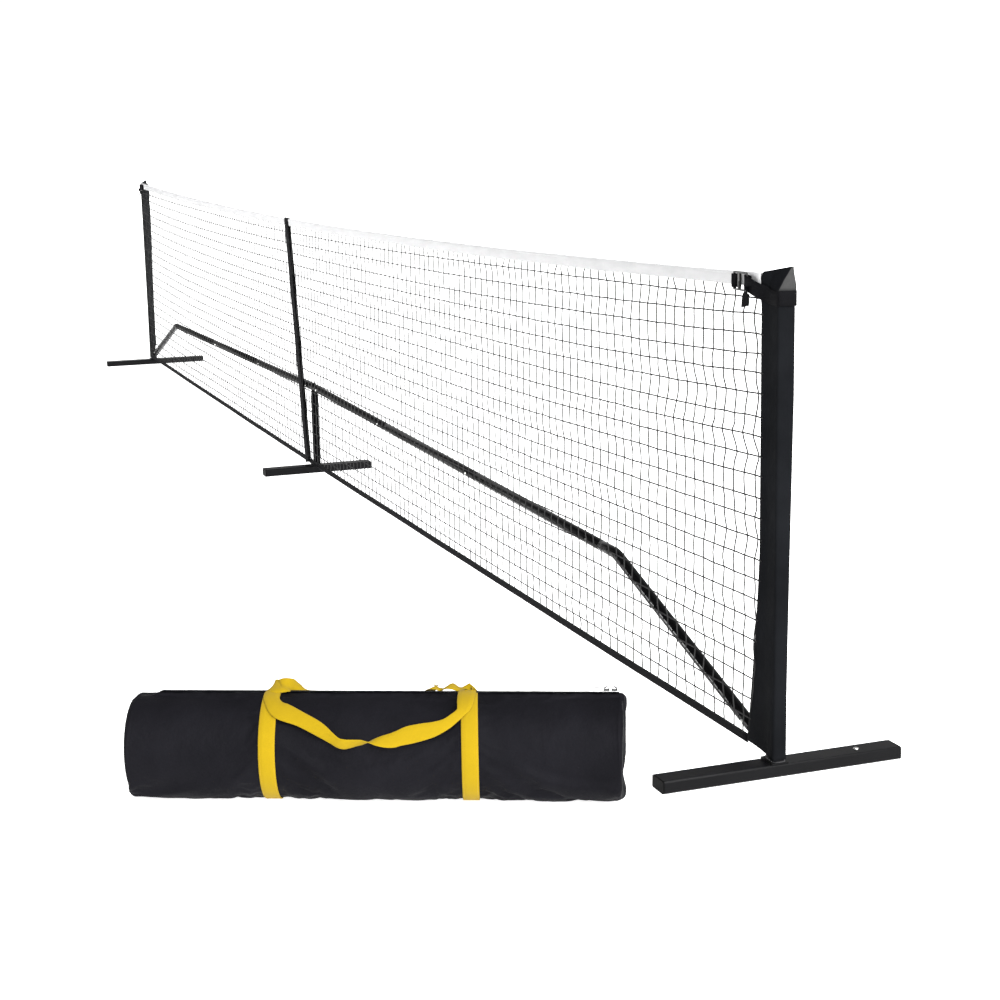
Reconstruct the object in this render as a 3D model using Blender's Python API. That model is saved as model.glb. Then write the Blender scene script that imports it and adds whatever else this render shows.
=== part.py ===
"""A portable court net on a plug-together tube frame, with its carry bag.

Metres, +Z up. +X runs along the net, -Y is the side the carry bag lies on, and the
origin is the middle of the centre foot's underside. The right half is modelled and the
left half is its mirror image, so a side is written as +1 (right) or -1 (left).
"""

from math import atan2, cos, hypot, pi, radians, sin

import bmesh
import bpy
from mathutils import Vector

# ---- Driving dimensions -------------------------------------------------------------
GAP = 0.0003
WALL = 0.0015
OVERSHOOT = 0.01

POST_X = 3.353
FOOT_LENGTH = 0.490
CENTRE_FOOT_LENGTH = 0.378
FOOT_WIDTH = 0.049
FOOT_HEIGHT = 0.0245
FOOT_Y = 0.009
FOOT_CORNER = 0.003
CAP_PLATE = 0.002
CAP_PLUG = 0.018
RIVET_Y = 0.171
RIVET_SHANK_R = 0.003
RIVET_HEAD_R = 0.0055

PLATE = 0.003
COLLAR_TOP = 0.090
STUB_LENGTH = 0.110
SLIP = WALL + GAP
BRACKET_X = 0.023
BRACKET_Y = 0.017
CENTRE_STUB_LENGTH = 0.10
POST_WIDTH = 0.040
POST_DEPTH = 0.022
POST_CORNER = 0.006
POST_TOP = 0.884
POST_PLUG = 0.020

TUBE_R = 0.0125
SPIGOT_R = TUBE_R - WALL - GAP
BEND_X = 2.628
BEND_Z = 0.262
BEND_RADIUS = 0.10
TEE_Z = 0.297
BRACE_END_Z = 0.0417
JOINTS_X = (2.545, 1.713, 0.881, 0.049)
SPIGOT_LENGTH = 0.085
SWAGE = 0.004
TEE_DROP = 0.034
BRACE_SPIGOT = 0.120
BUTTON_INSET = 0.062
TEE_BUTTON_INSET = 0.0235
BRACE_BUTTON_INSET = 0.088
POST_BUTTON_DROP = 0.075
TUBE_SIDES = 16

BUTTON_R = 0.0035
BUTTON_FOOT_Y = -0.0075
BUTTON_HEIGHT = 0.0074
LEAF_WIDTH = 0.005
LEAF_THICK = 0.0008

NET_Y = -0.018
CENTRE_HEIGHT = 0.868
END_HEIGHT = 0.9145
END_HEIGHT_X = 3.2
BAND_HEIGHT = 0.025
BAND_THICKNESS = 0.005
TAPE_HEIGHT = 0.019
MESH_THICKNESS = 0.002

SLEEVE_EDGE_X = 3.3235
SLEEVE_FLARE_X = 3.2805
FLARE_TOP_Z = 0.42
HEM_Z = 0.044
SLEEVE_SKIN = 0.0018
SLEEVE_OPEN_Z = 0.098
EAVES_Z = 0.890
FLAP_LOW_Z = 0.0305
HOOD_RIDGE_IN = 0.921
RIDGE_Y_IN = -0.012
RIDGE_Y_OUT = 0.009
HOOD_RIDGE_OUT = 0.9325

STRAP_WIDTH = 0.027
STRAP_THICK = 0.0016
STRAP_Z = 0.876
CENTRE_STRAP_WIDTH = 0.046
CENTRE_STRAP_TOP_X = -0.219
CENTRE_STRAP_LOW_X = -0.048
BUCKLE_X = 3.2591
BUCKLE_Y = -0.0275
BUCKLE_Z = 0.899
BUCKLE_LENGTH = 0.054
BUCKLE_HEIGHT = 0.034
BUCKLE_DEPTH = 0.004
BUCKLE_SLOTS = ((-0.0225, -0.0080), (-0.0010, 0.0215))

BAG_CENTRE = (3.1730, -0.7006)
BAG_TURN = radians(65.69)
BAG_LENGTH = 0.884
BAG_R = 0.095
BAND_S = (-0.188, 0.171)
WEBBING_WIDTH = 0.030
WEBBING = 0.0018
BAG_SHOULDER = 0.010
BAG_SINK = 0.004
BAND_TOP_FRONT = radians(19)
BAND_TOP_BACK = radians(-46)
HANDLE_LIFT = 0.0065
ZIP_ANGLE = radians(-13)
ZIP_S = (-0.401, 0.430)
TEETH_HEIGHT = 0.0026
PULL_RISE = 0.0052
SLIDER_S = (0.4070, 0.4215)


# ---- Scene and materials ------------------------------------------------------------
def clear_scene():
    for obj in list(bpy.data.objects):
        bpy.data.objects.remove(obj)


def material(name, colour, roughness, metallic=0.0):
    made = bpy.data.materials.new(name)
    made.use_nodes = True
    shader = made.node_tree.nodes["Principled BSDF"]
    shader.inputs["Base Color"].default_value = (*colour, 1.0)
    shader.inputs["Roughness"].default_value = roughness
    shader.inputs["Metallic"].default_value = metallic
    return made


clear_scene()
BLACK_STEEL = material("black_steel", (0.018, 0.018, 0.020), 0.30, 0.0)
BLACK_PLASTIC = material("black_plastic", (0.020, 0.020, 0.022), 0.45)
ZINC = material("zinc", (0.75, 0.75, 0.73), 0.30, 1.0)
BLACK_CLOTH = material("black_cloth", (0.014, 0.015, 0.018), 0.80)
BLACK_WEBBING = material("black_webbing", (0.012, 0.012, 0.014), 0.75)
WHITE_TAPE = material("white_tape", (0.86, 0.86, 0.86), 0.80)
NET_CORD = material("net_cord", (0.020, 0.020, 0.022), 0.80)
BAG_CLOTH = material("bag_cloth", (0.022, 0.022, 0.026), 0.70)
YELLOW_WEBBING = material("yellow_webbing", (0.85, 0.50, 0.02), 0.75)


# ---- Mesh helpers -------------------------------------------------------------------
def object_from(name, build, look, parent=None):
    """One object from a bmesh, with its faces turned outwards."""
    bmesh.ops.recalc_face_normals(build, faces=build.faces)
    mesh = bpy.data.meshes.new(name)
    build.to_mesh(mesh)
    build.free()
    made = bpy.data.objects.new(name, mesh)
    made.data.materials.append(look)
    bpy.context.scene.collection.objects.link(made)
    mesh.shade_smooth()
    mesh.set_sharp_from_angle(angle=radians(35))
    if parent is not None:
        made.parent = parent
    return made


def add_loft(build, rings):
    """Adds one closed solid through rings of equal length, with a flat face at each end."""
    rows = [[build.verts.new(point) for point in ring] for ring in rings]
    count = len(rows[0])
    for low, high in zip(rows, rows[1:]):
        for i in range(count):
            j = (i + 1) % count
            build.faces.new((low[i], low[j], high[j], high[i]))
    build.faces.new(rows[0])
    build.faces.new(rows[-1])


def add_shell(build, outer, inner):
    """Adds one open-ended tube wall between outer rings and inner rings."""
    rows = [[build.verts.new(point) for point in ring] for ring in outer + inner[::-1]]
    count = len(rows[0])
    for low, high in zip(rows, rows[1:] + rows[:1]):
        for i in range(count):
            j = (i + 1) % count
            build.faces.new((low[i], low[j], high[j], high[i]))


def loft(name, rings, look, parent=None):
    build = bmesh.new()
    add_loft(build, rings)
    return object_from(name, build, look, parent)


def box_rings(low, high):
    (x0, y0, z0), (x1, y1, z1) = low, high
    corners = ((x0, y0), (x1, y0), (x1, y1), (x0, y1))
    return [[(x, y, z) for x, y in corners] for z in (z0, z1)]


def cutter(name, rings):
    made = loft(name, rings, BLACK_STEEL)
    made.hide_render = True
    made.display_type = "WIRE"
    return made


def boolean(obj, other, operation):
    change = obj.modifiers.new(other.name, "BOOLEAN")
    change.operation = operation
    change.object = other


def rounded_rectangle(width, depth, radius, steps=3):
    """Outline points of a width x depth rectangle about (0, 0), counter-clockwise."""
    points = []
    for quarter, (sx, sy) in enumerate(((1, 1), (-1, 1), (-1, -1), (1, -1))):
        cx = sx * (width / 2 - radius)
        cy = sy * (depth / 2 - radius)
        for i in range(steps):
            angle = pi / 2 * (quarter + i / (steps - 1))
            points.append((cx + radius * cos(angle), cy + radius * sin(angle)))
    return points


def prism_rings(outline, heights, x=0.0, y=0.0):
    return [[(x + px, y + py, z) for px, py in outline] for z in heights]


def disc(centre, along, radius, sides):
    """A ring of points round centre, square to the direction along."""
    along = Vector(along).normalized()
    side = along.orthogonal().normalized()
    other = along.cross(side)
    turns = [2 * pi * i / sides for i in range(sides)]
    return [Vector(centre) + radius * (cos(t) * side + sin(t) * other) for t in turns]


def turned_rings(centre, along, profile, sides=10):
    """Rings of a solid of revolution: profile lists (distance along, radius)."""
    along = Vector(along).normalized()
    return [disc(Vector(centre) + along * s, along, r, sides) for s, r in profile]


# ---- Tube frame ---------------------------------------------------------------------
RAIL_RISE = (TEE_Z - BEND_Z) / BEND_X


def rail_z(x):
    """Height of the rail's centre line at a distance x from the middle."""
    return TEE_Z - RAIL_RISE * x


def collar_face_x():
    return POST_X - POST_WIDTH / 2


def brace_slope():
    return (BEND_Z - BRACE_END_Z) / (collar_face_x() - BEND_X)


def brace_point(x):
    return (x, BRACE_END_Z + (collar_face_x() - x) * brace_slope())


def tube_section(x, z, dx, dz, radius, side):
    """A round ring square to the direction (dx, dz) in the XZ plane."""
    length = hypot(dx, dz)
    nx, nz = -dz / length, dx / length
    ring = []
    for i in range(TUBE_SIDES):
        angle = 2 * pi * (i + 0.5) / TUBE_SIDES
        out, across = radius * cos(angle), radius * sin(angle)
        ring.append((side * (x + nx * out), across, z + nz * out))
    return ring


def tube(name, path, side):
    """A hollow tube: path lists (x, z, outer radius); its ends stay open."""
    outer, inner = [], []
    for i, (x, z, radius) in enumerate(path):
        before = path[max(i - 1, 0)]
        after = path[min(i + 1, len(path) - 1)]
        dx, dz = after[0] - before[0], after[1] - before[1]
        outer.append(tube_section(x, z, dx, dz, radius, side))
        inner.append(tube_section(x, z, dx, dz, radius - WALL, side))
    build = bmesh.new()
    add_shell(build, outer, inner)
    return object_from(name, build, BLACK_STEEL)


def swaged_rail(x_start, x_end):
    """A rail from x_start down to x_end, then the narrower spigot that enters the next."""
    stops = (
        (x_start, TUBE_R),
        (x_end + SWAGE, TUBE_R),
        (x_end, SPIGOT_R),
        (x_end - SPIGOT_LENGTH, SPIGOT_R),
    )
    return [(x, rail_z(x), radius) for x, radius in stops]


def brace_path():
    """Up from the foot, round the bend, along to the first joint and its spigot."""
    collar_clearance = 0.004
    straight = 0.30
    low = Vector(brace_point(collar_face_x() - collar_clearance))
    corner = Vector((BEND_X, rail_z(BEND_X)))
    joint = Vector((JOINTS_X[0], rail_z(JOINTS_X[0])))
    rise = (corner - low).normalized()
    run = (joint - corner).normalized()
    turn = rise.angle(run)
    setback = BEND_RADIUS * sin(turn / 2) / cos(turn / 2)
    points = [low, low + rise * straight]
    for i in range(5):
        t = i / 4
        a = corner - rise * setback
        b = corner + run * setback
        points.append((1 - t) ** 2 * a + 2 * t * (1 - t) * corner + t ** 2 * b)
    path = [(p.x, p.y, TUBE_R) for p in points]
    return path + swaged_rail(JOINTS_X[0] + 2 * SWAGE, JOINTS_X[0])[1:]


def rail_button_x(index):
    return JOINTS_X[index] - BUTTON_INSET


BRACE_BUTTON_X = collar_face_x() - BRACE_BUTTON_INSET


def button_places():
    """name: (x, z, direction from the button into its spigot's root) for every joint."""
    rail_root = Vector((1, 0, -RAIL_RISE)).normalized()
    brace_root = Vector((1, 0, -brace_slope())).normalized()
    names = ("bend", "outer", "inner", "tee")
    places = {}
    for side, word in ((1, "right"), (-1, "left")):
        mirror = Vector((side, 1, 1))
        x, z = brace_point(BRACE_BUTTON_X)
        places[f"{word}_brace"] = (side * x, z, brace_root * mirror)
        for index, name in enumerate(names[:3]):
            x = rail_button_x(index)
            places[f"{word}_{name}"] = (side * x, rail_z(x), rail_root * mirror)
        x = JOINTS_X[3] + TEE_BUTTON_INSET
        places[f"{word}_tee"] = (side * x, rail_z(x), -rail_root * mirror)
    places["centre_post"] = (0.0, TEE_Z - POST_BUTTON_DROP, Vector((0, 0, 1)))
    return places


PLACES = button_places()


def button_hole(name):
    """The cutter for a button's hole through both tubes."""
    x, z, _ = PLACES[name]
    radius = BUTTON_R + GAP
    profile = ((SPIGOT_R / 2, radius), (TUBE_R * 2, radius))
    return cutter(f"hole_{name}", turned_rings((x, 0, z), (0, -1, 0), profile))


def leaf_rings(root):
    """A folded leaf, from under the button along the spigot and back across its bore."""
    # Distance along the spigot, and depth behind the button's foot, of each bend.
    route = (
        (0.0020, 0.0008),
        (-0.018, 0.0040),
        (-0.021, 0.0062),
        (-0.018, 0.0084),
        (-0.002, 0.0108),
    )
    along = Vector(root)
    across = along.cross(Vector((0, 1, 0))).normalized()
    rings = []
    for i, (s, y) in enumerate(route):
        before, after = route[max(i - 1, 0)], route[min(i + 1, len(route) - 1)]
        run = (after[0] - before[0]) * along + (after[1] - before[1]) * Vector((0, 1, 0))
        off = across.cross(run.normalized()) * LEAF_THICK / 2
        centre = s * along + Vector((0, y, 0))
        half = across * LEAF_WIDTH / 2
        front = [centre + half + off, centre - half + off]
        back = [centre - half - off, centre + half - off]
        rings.append(front + back)
    return rings


def snap_button(name):
    """A domed button on its folded leaf spring, which lies inside the spigot."""
    x, z, root = PLACES[name]
    flange, flange_depth, dome = BUTTON_R + 0.0006, 0.0014, 0.0012
    profile = (
        (-flange_depth, flange),
        (0.0, flange),
        (0.0, BUTTON_R),
        (BUTTON_HEIGHT - dome, BUTTON_R),
        (BUTTON_HEIGHT, BUTTON_R / 2),
    )
    empty = bpy.data.objects.new(f"{name}_button_axis", None)
    empty.location = (x, BUTTON_FOOT_Y, z)
    bpy.context.scene.collection.objects.link(empty)
    rings = turned_rings((0, 0, 0), (0, -1, 0), profile, sides=8)
    button = loft(f"{name}_snap_button", rings, ZINC, empty)
    leaf = cutter(f"{name}_leaf", leaf_rings(root))
    leaf.parent = empty
    boolean(button, leaf, "UNION")


def tubes(side, word, holes):
    """The bent brace and the three rails of one side, each with two button holes."""
    first, second, third, last = JOINTS_X
    ends = (third - GAP, last + GAP)
    pieces = (
        ("brace", brace_path(), "brace", "bend"),
        ("rail_outer", swaged_rail(first - GAP, second), "bend", "outer"),
        ("rail_middle", swaged_rail(second - GAP, third), "outer", "inner"),
        ("rail_inner", [(x, rail_z(x), TUBE_R) for x in ends], "inner", "tee"),
    )
    for name, path, outer_hole, inner_hole in pieces:
        made = tube(f"{word}_{name}", path, side)
        boolean(made, holes[f"{word}_{outer_hole}"], "DIFFERENCE")
        boolean(made, holes[f"{word}_{inner_hole}"], "DIFFERENCE")


def arm(name, origin, along, reach):
    """A solid arm that steps down to a spigot, for a Boolean union."""
    tip = reach + SPIGOT_LENGTH
    profile = ((-0.004, TUBE_R), (reach, TUBE_R), (reach, SPIGOT_R), (tip, SPIGOT_R))
    return cutter(name, turned_rings(origin, along, profile, TUBE_SIDES))


def bore(name, origin, along, start, end):
    radius = SPIGOT_R - WALL
    profile = ((start, radius), (end, radius))
    return cutter(name, turned_rings(origin, along, profile, TUBE_SIDES))


def centre_tee(holes):
    """The welded tee: two rail spigots, a post spigot below and a plug on top."""
    middle = Vector((0, 0, TEE_Z))
    right = Vector((1, 0, -RAIL_RISE)).normalized()
    left = Vector((-1, 0, -RAIL_RISE)).normalized()
    down = Vector((0, 0, -1))
    shoulder = JOINTS_X[3]
    plug = ((-0.0165, 0.004), (-0.0155, 0.0065), (-0.010, 0.0075), (TEE_DROP, TUBE_R))
    profile = plug + ((TEE_DROP, SPIGOT_R), (TEE_DROP + SPIGOT_LENGTH, SPIGOT_R))
    tee = loft("centre_tee", turned_rings(middle, down, profile, TUBE_SIDES), BLACK_STEEL)
    for word, along in (("right", right), ("left", left)):
        boolean(tee, arm(f"tee_arm_{word}", middle, along, shoulder), "UNION")
    ways = (("right", right, shoulder), ("left", left, shoulder), ("down", down, TEE_DROP))
    for word, along, reach in ways:
        end = reach + SPIGOT_LENGTH + OVERSHOOT
        boolean(tee, bore(f"tee_bore_{word}", middle, along, reach, end), "DIFFERENCE")
    for name in ("right_tee", "left_tee", "centre_post"):
        boolean(tee, holes[name], "DIFFERENCE")


# ---- Feet, brackets and posts -------------------------------------------------------
def foot_places():
    return (
        ("right", POST_X, FOOT_Y, FOOT_LENGTH),
        ("centre", 0.0, 0.0, CENTRE_FOOT_LENGTH),
        ("left", -POST_X, FOOT_Y, FOOT_LENGTH),
    )


def foot_ring(x, y, inset):
    width, height = FOOT_WIDTH - 2 * inset, FOOT_HEIGHT - 2 * inset
    outline = rounded_rectangle(width, height, FOOT_CORNER - inset / 2, 2)
    return [(x + px, y, FOOT_HEIGHT / 2 + pz) for px, pz in outline]


def foot(word, x, y, length):
    """A rectangular tube with a plug in each end."""
    half = length / 2 - CAP_PLATE
    build = bmesh.new()
    ends = (y - half, y + half)
    add_shell(build, [foot_ring(x, e, 0) for e in ends], [foot_ring(x, e, WALL) for e in ends])
    bar = object_from(f"{word}_foot_bar", build, BLACK_STEEL)
    for end, sign in (("front", -1), ("back", 1)):
        face = y + sign * length / 2
        lip = CAP_PLATE - GAP
        steps = ((0, 0), (lip, 0), (lip, SLIP), (CAP_PLUG, SLIP))
        rings = [foot_ring(x, face - sign * s, inset) for s, inset in steps]
        loft(f"{word}_foot_cap_{end}", rings, BLACK_PLASTIC)
    return bar


def foot_rivet(word, x, bar):
    """The domed rivet through the top wall of an end foot."""
    up, hole_r = (0, 0, 1), RIVET_SHANK_R + GAP
    hole = turned_rings((x, RIVET_Y, FOOT_HEIGHT), up, ((-0.006, hole_r), (0.006, hole_r)))
    boolean(bar, cutter(f"{word}_rivet_hole", hole), "DIFFERENCE")
    shank = ((-0.007, RIVET_SHANK_R), (0.0, RIVET_SHANK_R))
    dome = ((0.0, RIVET_HEAD_R), (0.0010, RIVET_HEAD_R - 0.0005), (0.0020, RIVET_HEAD_R / 2))
    rings = turned_rings((x, RIVET_Y, FOOT_HEIGHT + GAP), up, shank + dome)
    loft(f"{word}_foot_rivet", rings, ZINC)


def bracket_plate(name, x):
    low = (x - BRACKET_X, -BRACKET_Y, FOOT_HEIGHT + GAP)
    high = (x + BRACKET_X, BRACKET_Y, FOOT_HEIGHT + GAP + PLATE)
    return loft(name, box_rings(low, high), BLACK_STEEL)


def post_outline(inset):
    """The flat-oval post's outline, drawn in by inset all round."""
    width, depth = POST_WIDTH - 2 * inset, POST_DEPTH - 2 * inset
    return rounded_rectangle(width, depth, POST_CORNER - inset)


PLATE_MIDDLE = FOOT_HEIGHT + GAP + 0.001


def end_bracket(side, word, holes):
    """Plate, collar and post stub, with the spigot that carries the brace."""
    x = side * POST_X
    plate = bracket_plate(f"{word}_foot_bracket", x)
    stub_top = COLLAR_TOP + STUB_LENGTH
    rings = prism_rings(post_outline(0.0), (PLATE_MIDDLE, COLLAR_TOP), x)
    rings += prism_rings(post_outline(SLIP), (COLLAR_TOP, stub_top), x)
    boolean(plate, cutter(f"{word}_collar", rings), "UNION")
    rings = prism_rings(post_outline(SLIP + WALL), (COLLAR_TOP, stub_top + OVERSHOOT), x)
    boolean(plate, cutter(f"{word}_stub_hollow", rings), "DIFFERENCE")
    along = Vector((-side, 0, brace_slope())).normalized()
    root = Vector((side * collar_face_x(), 0, BRACE_END_Z))
    profile = ((-0.010, SPIGOT_R), (BRACE_SPIGOT, SPIGOT_R))
    spigot = turned_rings(root, along, profile, TUBE_SIDES)
    boolean(plate, cutter(f"{word}_brace_spigot", spigot), "UNION")
    hollow = bore(f"{word}_spigot_bore", root, along, 0.018, BRACE_SPIGOT + OVERSHOOT)
    boolean(plate, hollow, "DIFFERENCE")
    boolean(plate, holes[f"{word}_brace"], "DIFFERENCE")


def centre_bracket():
    plate = bracket_plate("centre_foot_bracket", 0.0)
    root, up, floor = (0, 0, PLATE_MIDDLE), (0, 0, 1), 0.01
    profile = ((0, SPIGOT_R), (CENTRE_STUB_LENGTH, SPIGOT_R))
    boolean(plate, cutter("centre_stub", turned_rings(root, up, profile, TUBE_SIDES)), "UNION")
    hollow = bore("centre_stub_hollow", root, up, floor, CENTRE_STUB_LENGTH + OVERSHOOT)
    boolean(plate, hollow, "DIFFERENCE")


def end_post(side, word):
    """The upright, from the collar to the cap."""
    x = side * POST_X
    ends = (COLLAR_TOP + GAP, POST_TOP)
    outer, inner = post_outline(0.0), post_outline(WALL)
    build = bmesh.new()
    add_shell(build, prism_rings(outer, ends, x), prism_rings(inner, ends, x))
    object_from(f"{word}_post", build, BLACK_STEEL)
    top = POST_TOP + GAP
    rings = prism_rings(post_outline(SLIP), (top - POST_PLUG, top), x)
    rings += prism_rings(outer, (top, top + 0.003), x)
    loft(f"{word}_post_cap", rings, BLACK_PLASTIC)


def centre_post(holes):
    low = FOOT_HEIGHT + GAP + PLATE + GAP
    high = TEE_Z - TEE_DROP - GAP
    along = (0, 0, 1)
    build = bmesh.new()
    outer = [disc((0, 0, z), along, TUBE_R, TUBE_SIDES) for z in (low, high)]
    inner = [disc((0, 0, z), along, TUBE_R - WALL, TUBE_SIDES) for z in (low, high)]
    add_shell(build, outer, inner)
    post = object_from("centre_post", build, BLACK_STEEL)
    boolean(post, holes["centre_post"], "DIFFERENCE")


# ---- Net and its straps -------------------------------------------------------------
def net_top(x):
    """Height of the headband's top edge, which sags to the middle."""
    return CENTRE_HEIGHT + (END_HEIGHT - CENTRE_HEIGHT) * (x / END_HEIGHT_X) ** 2


def tape_bottom(x):
    """Height of the bottom tape's lower edge, which lies lowest at the centre foot."""
    return 0.0285 + 0.0105 * (x / SLEEVE_EDGE_X) ** 2


def sleeve_edge(z):
    """Distance from the middle of the sleeve's inner edge, which flares at the bottom."""
    if z > FLARE_TOP_Z:
        return SLEEVE_EDGE_X
    fall = (FLARE_TOP_Z - z) / (FLARE_TOP_Z - HEM_Z)
    return SLEEVE_EDGE_X - (SLEEVE_EDGE_X - SLEEVE_FLARE_X) * fall ** 1.3


def spread(low, high, count):
    return [low + (high - low) * i / (count - 1) for i in range(count)]


def band_ring(x, y0, y1, z0, z1):
    return [(x, y0, z0), (x, y1, z0), (x, y1, z1), (x, y0, z1)]


def headband():
    """The folded tape along the top, a tunnel with the tension webbing inside."""
    end = SLEEVE_EDGE_X - 0.001
    half = BAND_THICKNESS / 2
    outer, inner, core = [], [], []
    for x in spread(-end, end, 25):
        top = net_top(x)
        low = top - BAND_HEIGHT
        outer.append(band_ring(x, NET_Y - half, NET_Y + half, low, top))
        inner.append(band_ring(x, NET_Y - 0.0016, NET_Y + 0.0016, low + 0.003, top - 0.002))
        core.append(band_ring(x, NET_Y - 0.0009, NET_Y + 0.0009, low + 0.0045, top - 0.0035))
    build = bmesh.new()
    add_shell(build, outer, inner)
    object_from("headband", build, WHITE_TAPE)
    loft("headband_webbing", core, WHITE_TAPE)


def net_mesh():
    """The netting between the headband and the bottom tape, as one thin sheet."""
    half = MESH_THICKNESS / 2
    gap = 0.0006
    heights = spread(0.0, 1.0, 5)
    rings = []
    for t in spread(-1.0, 1.0, 25):
        column = []
        for h in heights:
            x0 = t * (SLEEVE_EDGE_X - 0.001)
            low = tape_bottom(x0) + TAPE_HEIGHT + gap
            high = net_top(x0) - BAND_HEIGHT - gap
            z = low + (high - low) * h
            column.append((t * (sleeve_edge(z) - 0.001), z))
        front = [(x, NET_Y - half, z) for x, z in column]
        back = [(x, NET_Y + half, z) for x, z in column]
        rings.append(front + back[::-1])
    loft("net_mesh", rings, NET_CORD)


def bottom_tape():
    end = sleeve_edge(HEM_Z + 0.001) - 0.001
    rings = []
    for x in spread(-end, end, 17):
        low = tape_bottom(x)
        rings.append(band_ring(x, NET_Y - 0.0015, NET_Y + 0.0015, low, low + TAPE_HEIGHT))
    loft("bottom_tape", rings, BLACK_WEBBING)


def centre_strap():
    """A webbing loop over the headband, down both faces of the net to the centre foot."""
    front, back = NET_Y - 0.0038, NET_Y + 0.0034
    low, top = FOOT_HEIGHT + 0.0035, CENTRE_HEIGHT + 0.0012
    half = CENTRE_STRAP_WIDTH / 2
    rings = []
    for y, z in ((back, low), (back, top), (front, top), (front, low)):
        is_top = z == top
        x = CENTRE_STRAP_TOP_X if is_top else CENTRE_STRAP_LOW_X
        outer_y = y + (STRAP_THICK if y == back else -STRAP_THICK)
        outer_z = z + STRAP_THICK * is_top
        inner = [(x - half, y, z), (x + half, y, z)]
        rings.append(inner + [(x + half, outer_y, outer_z), (x - half, outer_y, outer_z)])
    loft("centre_strap", rings, BLACK_WEBBING)


def pocket_ring(z, grow, edge=None):
    """The sleeve's outline round the post at height z, grown by grow.

    With an edge given, both faces run on inwards to meet in a seam at that x.
    """
    half_w = POST_WIDTH / 2 + GAP + grow
    half_d = POST_DEPTH / 2 + GAP + grow
    corner = 0.0035
    right, left = POST_X + half_w, POST_X - half_w
    seam = (left, left) if edge is None else (edge, edge)
    seam_y = (-half_d, 0.0) if edge is None else (NET_Y - 0.0005, NET_Y + 0.003)
    return [
        (seam[0], seam_y[0], z),
        (right - corner, -half_d, z),
        (right, -half_d + corner, z),
        (right, half_d - corner, z),
        (right - corner, half_d, z),
        (left, half_d, z),
        (seam[1], seam_y[1], z),
    ]


def flap_ring(y, lift, back):
    """The flap's lower edge in front at depth y; its other points come from back."""
    right = POST_X + POST_WIDTH / 2 + SLEEVE_SKIN
    low = FLAP_LOW_Z + lift
    edge = (sleeve_edge(HEM_Z), y, HEM_Z + lift)
    front = [edge, (right - 0.004, y, low), (right, y + 0.001, low + 0.002)]
    return front + back[3:]


def sleeve(side, word):
    """The cloth sleeve over the post, with the flap at its foot and the hood on top."""
    inner_low = pocket_ring(SLEEVE_OPEN_Z, 0.0)
    outer_low = pocket_ring(SLEEVE_OPEN_Z, SLEEVE_SKIN, sleeve_edge(SLEEVE_OPEN_Z))
    between = [tuple((a + b) / 2 for a, b in zip(p, q)) for p, q in zip(inner_low, outer_low)]
    rings = [pocket_ring(EAVES_Z - SLEEVE_SKIN, 0.0), inner_low]
    rings += [flap_ring(NET_Y + 0.003, 0.001, between), flap_ring(NET_Y - 0.0005, 0.0, outer_low)]
    levels = (0.15, 0.24, 0.33, FLARE_TOP_Z, EAVES_Z)
    rings += [pocket_ring(z, SLEEVE_SKIN, sleeve_edge(z)) for z in levels]
    outermost = rings[-1][2][0]
    ridge = []
    for x, y, _ in rings[-1]:
        share = (x - SLEEVE_EDGE_X) / (outermost - SLEEVE_EDGE_X)
        z = HOOD_RIDGE_IN + (HOOD_RIDGE_OUT - HOOD_RIDGE_IN) * share
        ridge.append((x, RIDGE_Y_IN + (RIDGE_Y_OUT - RIDGE_Y_IN) * share + y * 0.08, z))
    mirrored = [[(side * x, y, z) for x, y, z in ring] for ring in rings + [ridge]]
    loft(f"{word}_sleeve", mirrored, BLACK_CLOTH)


def strap_rings(route, side):
    """Rings of an upright strap: route lists (x, y, z of its middle)."""
    rings = []
    for i, (x, y, z) in enumerate(route):
        ax, ay, _ = route[max(i - 1, 0)]
        bx, by, _ = route[min(i + 1, len(route) - 1)]
        dx, dy = bx - ax, by - ay
        length = hypot(dx, dy)
        nx, ny = dy / length * STRAP_THICK / 2, -dx / length * STRAP_THICK / 2
        low, high = z - STRAP_WIDTH / 2, z + STRAP_WIDTH / 2
        rings.append(
            [
                (side * (x + nx), y + ny, low),
                (side * (x - nx), y - ny, low),
                (side * (x - nx), y - ny, high),
                (side * (x + nx), y + ny, high),
            ]
        )
    return rings


def tension_strap(side, word):
    """The webbing from the buckle round the post to the sleeve's back."""
    out = POST_X + POST_WIDTH / 2 + 0.0036
    across = POST_DEPTH / 2 + 0.0038
    start = BUCKLE_X + BUCKLE_LENGTH / 2 + 0.001
    route = (
        (start, BUCKLE_Y, BUCKLE_Z - 0.005),
        (SLEEVE_EDGE_X + 0.002, NET_Y - 0.0045, STRAP_Z + 0.010),
        (out - 0.004, -across, STRAP_Z),
        (out, -across + 0.004, STRAP_Z),
        (out, across - 0.004, STRAP_Z),
        (out - 0.004, across, STRAP_Z),
        (POST_X - 0.012, across, STRAP_Z + 0.0005),
    )
    loft(f"{word}_tension_strap", strap_rings(route, side), BLACK_WEBBING)


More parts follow.
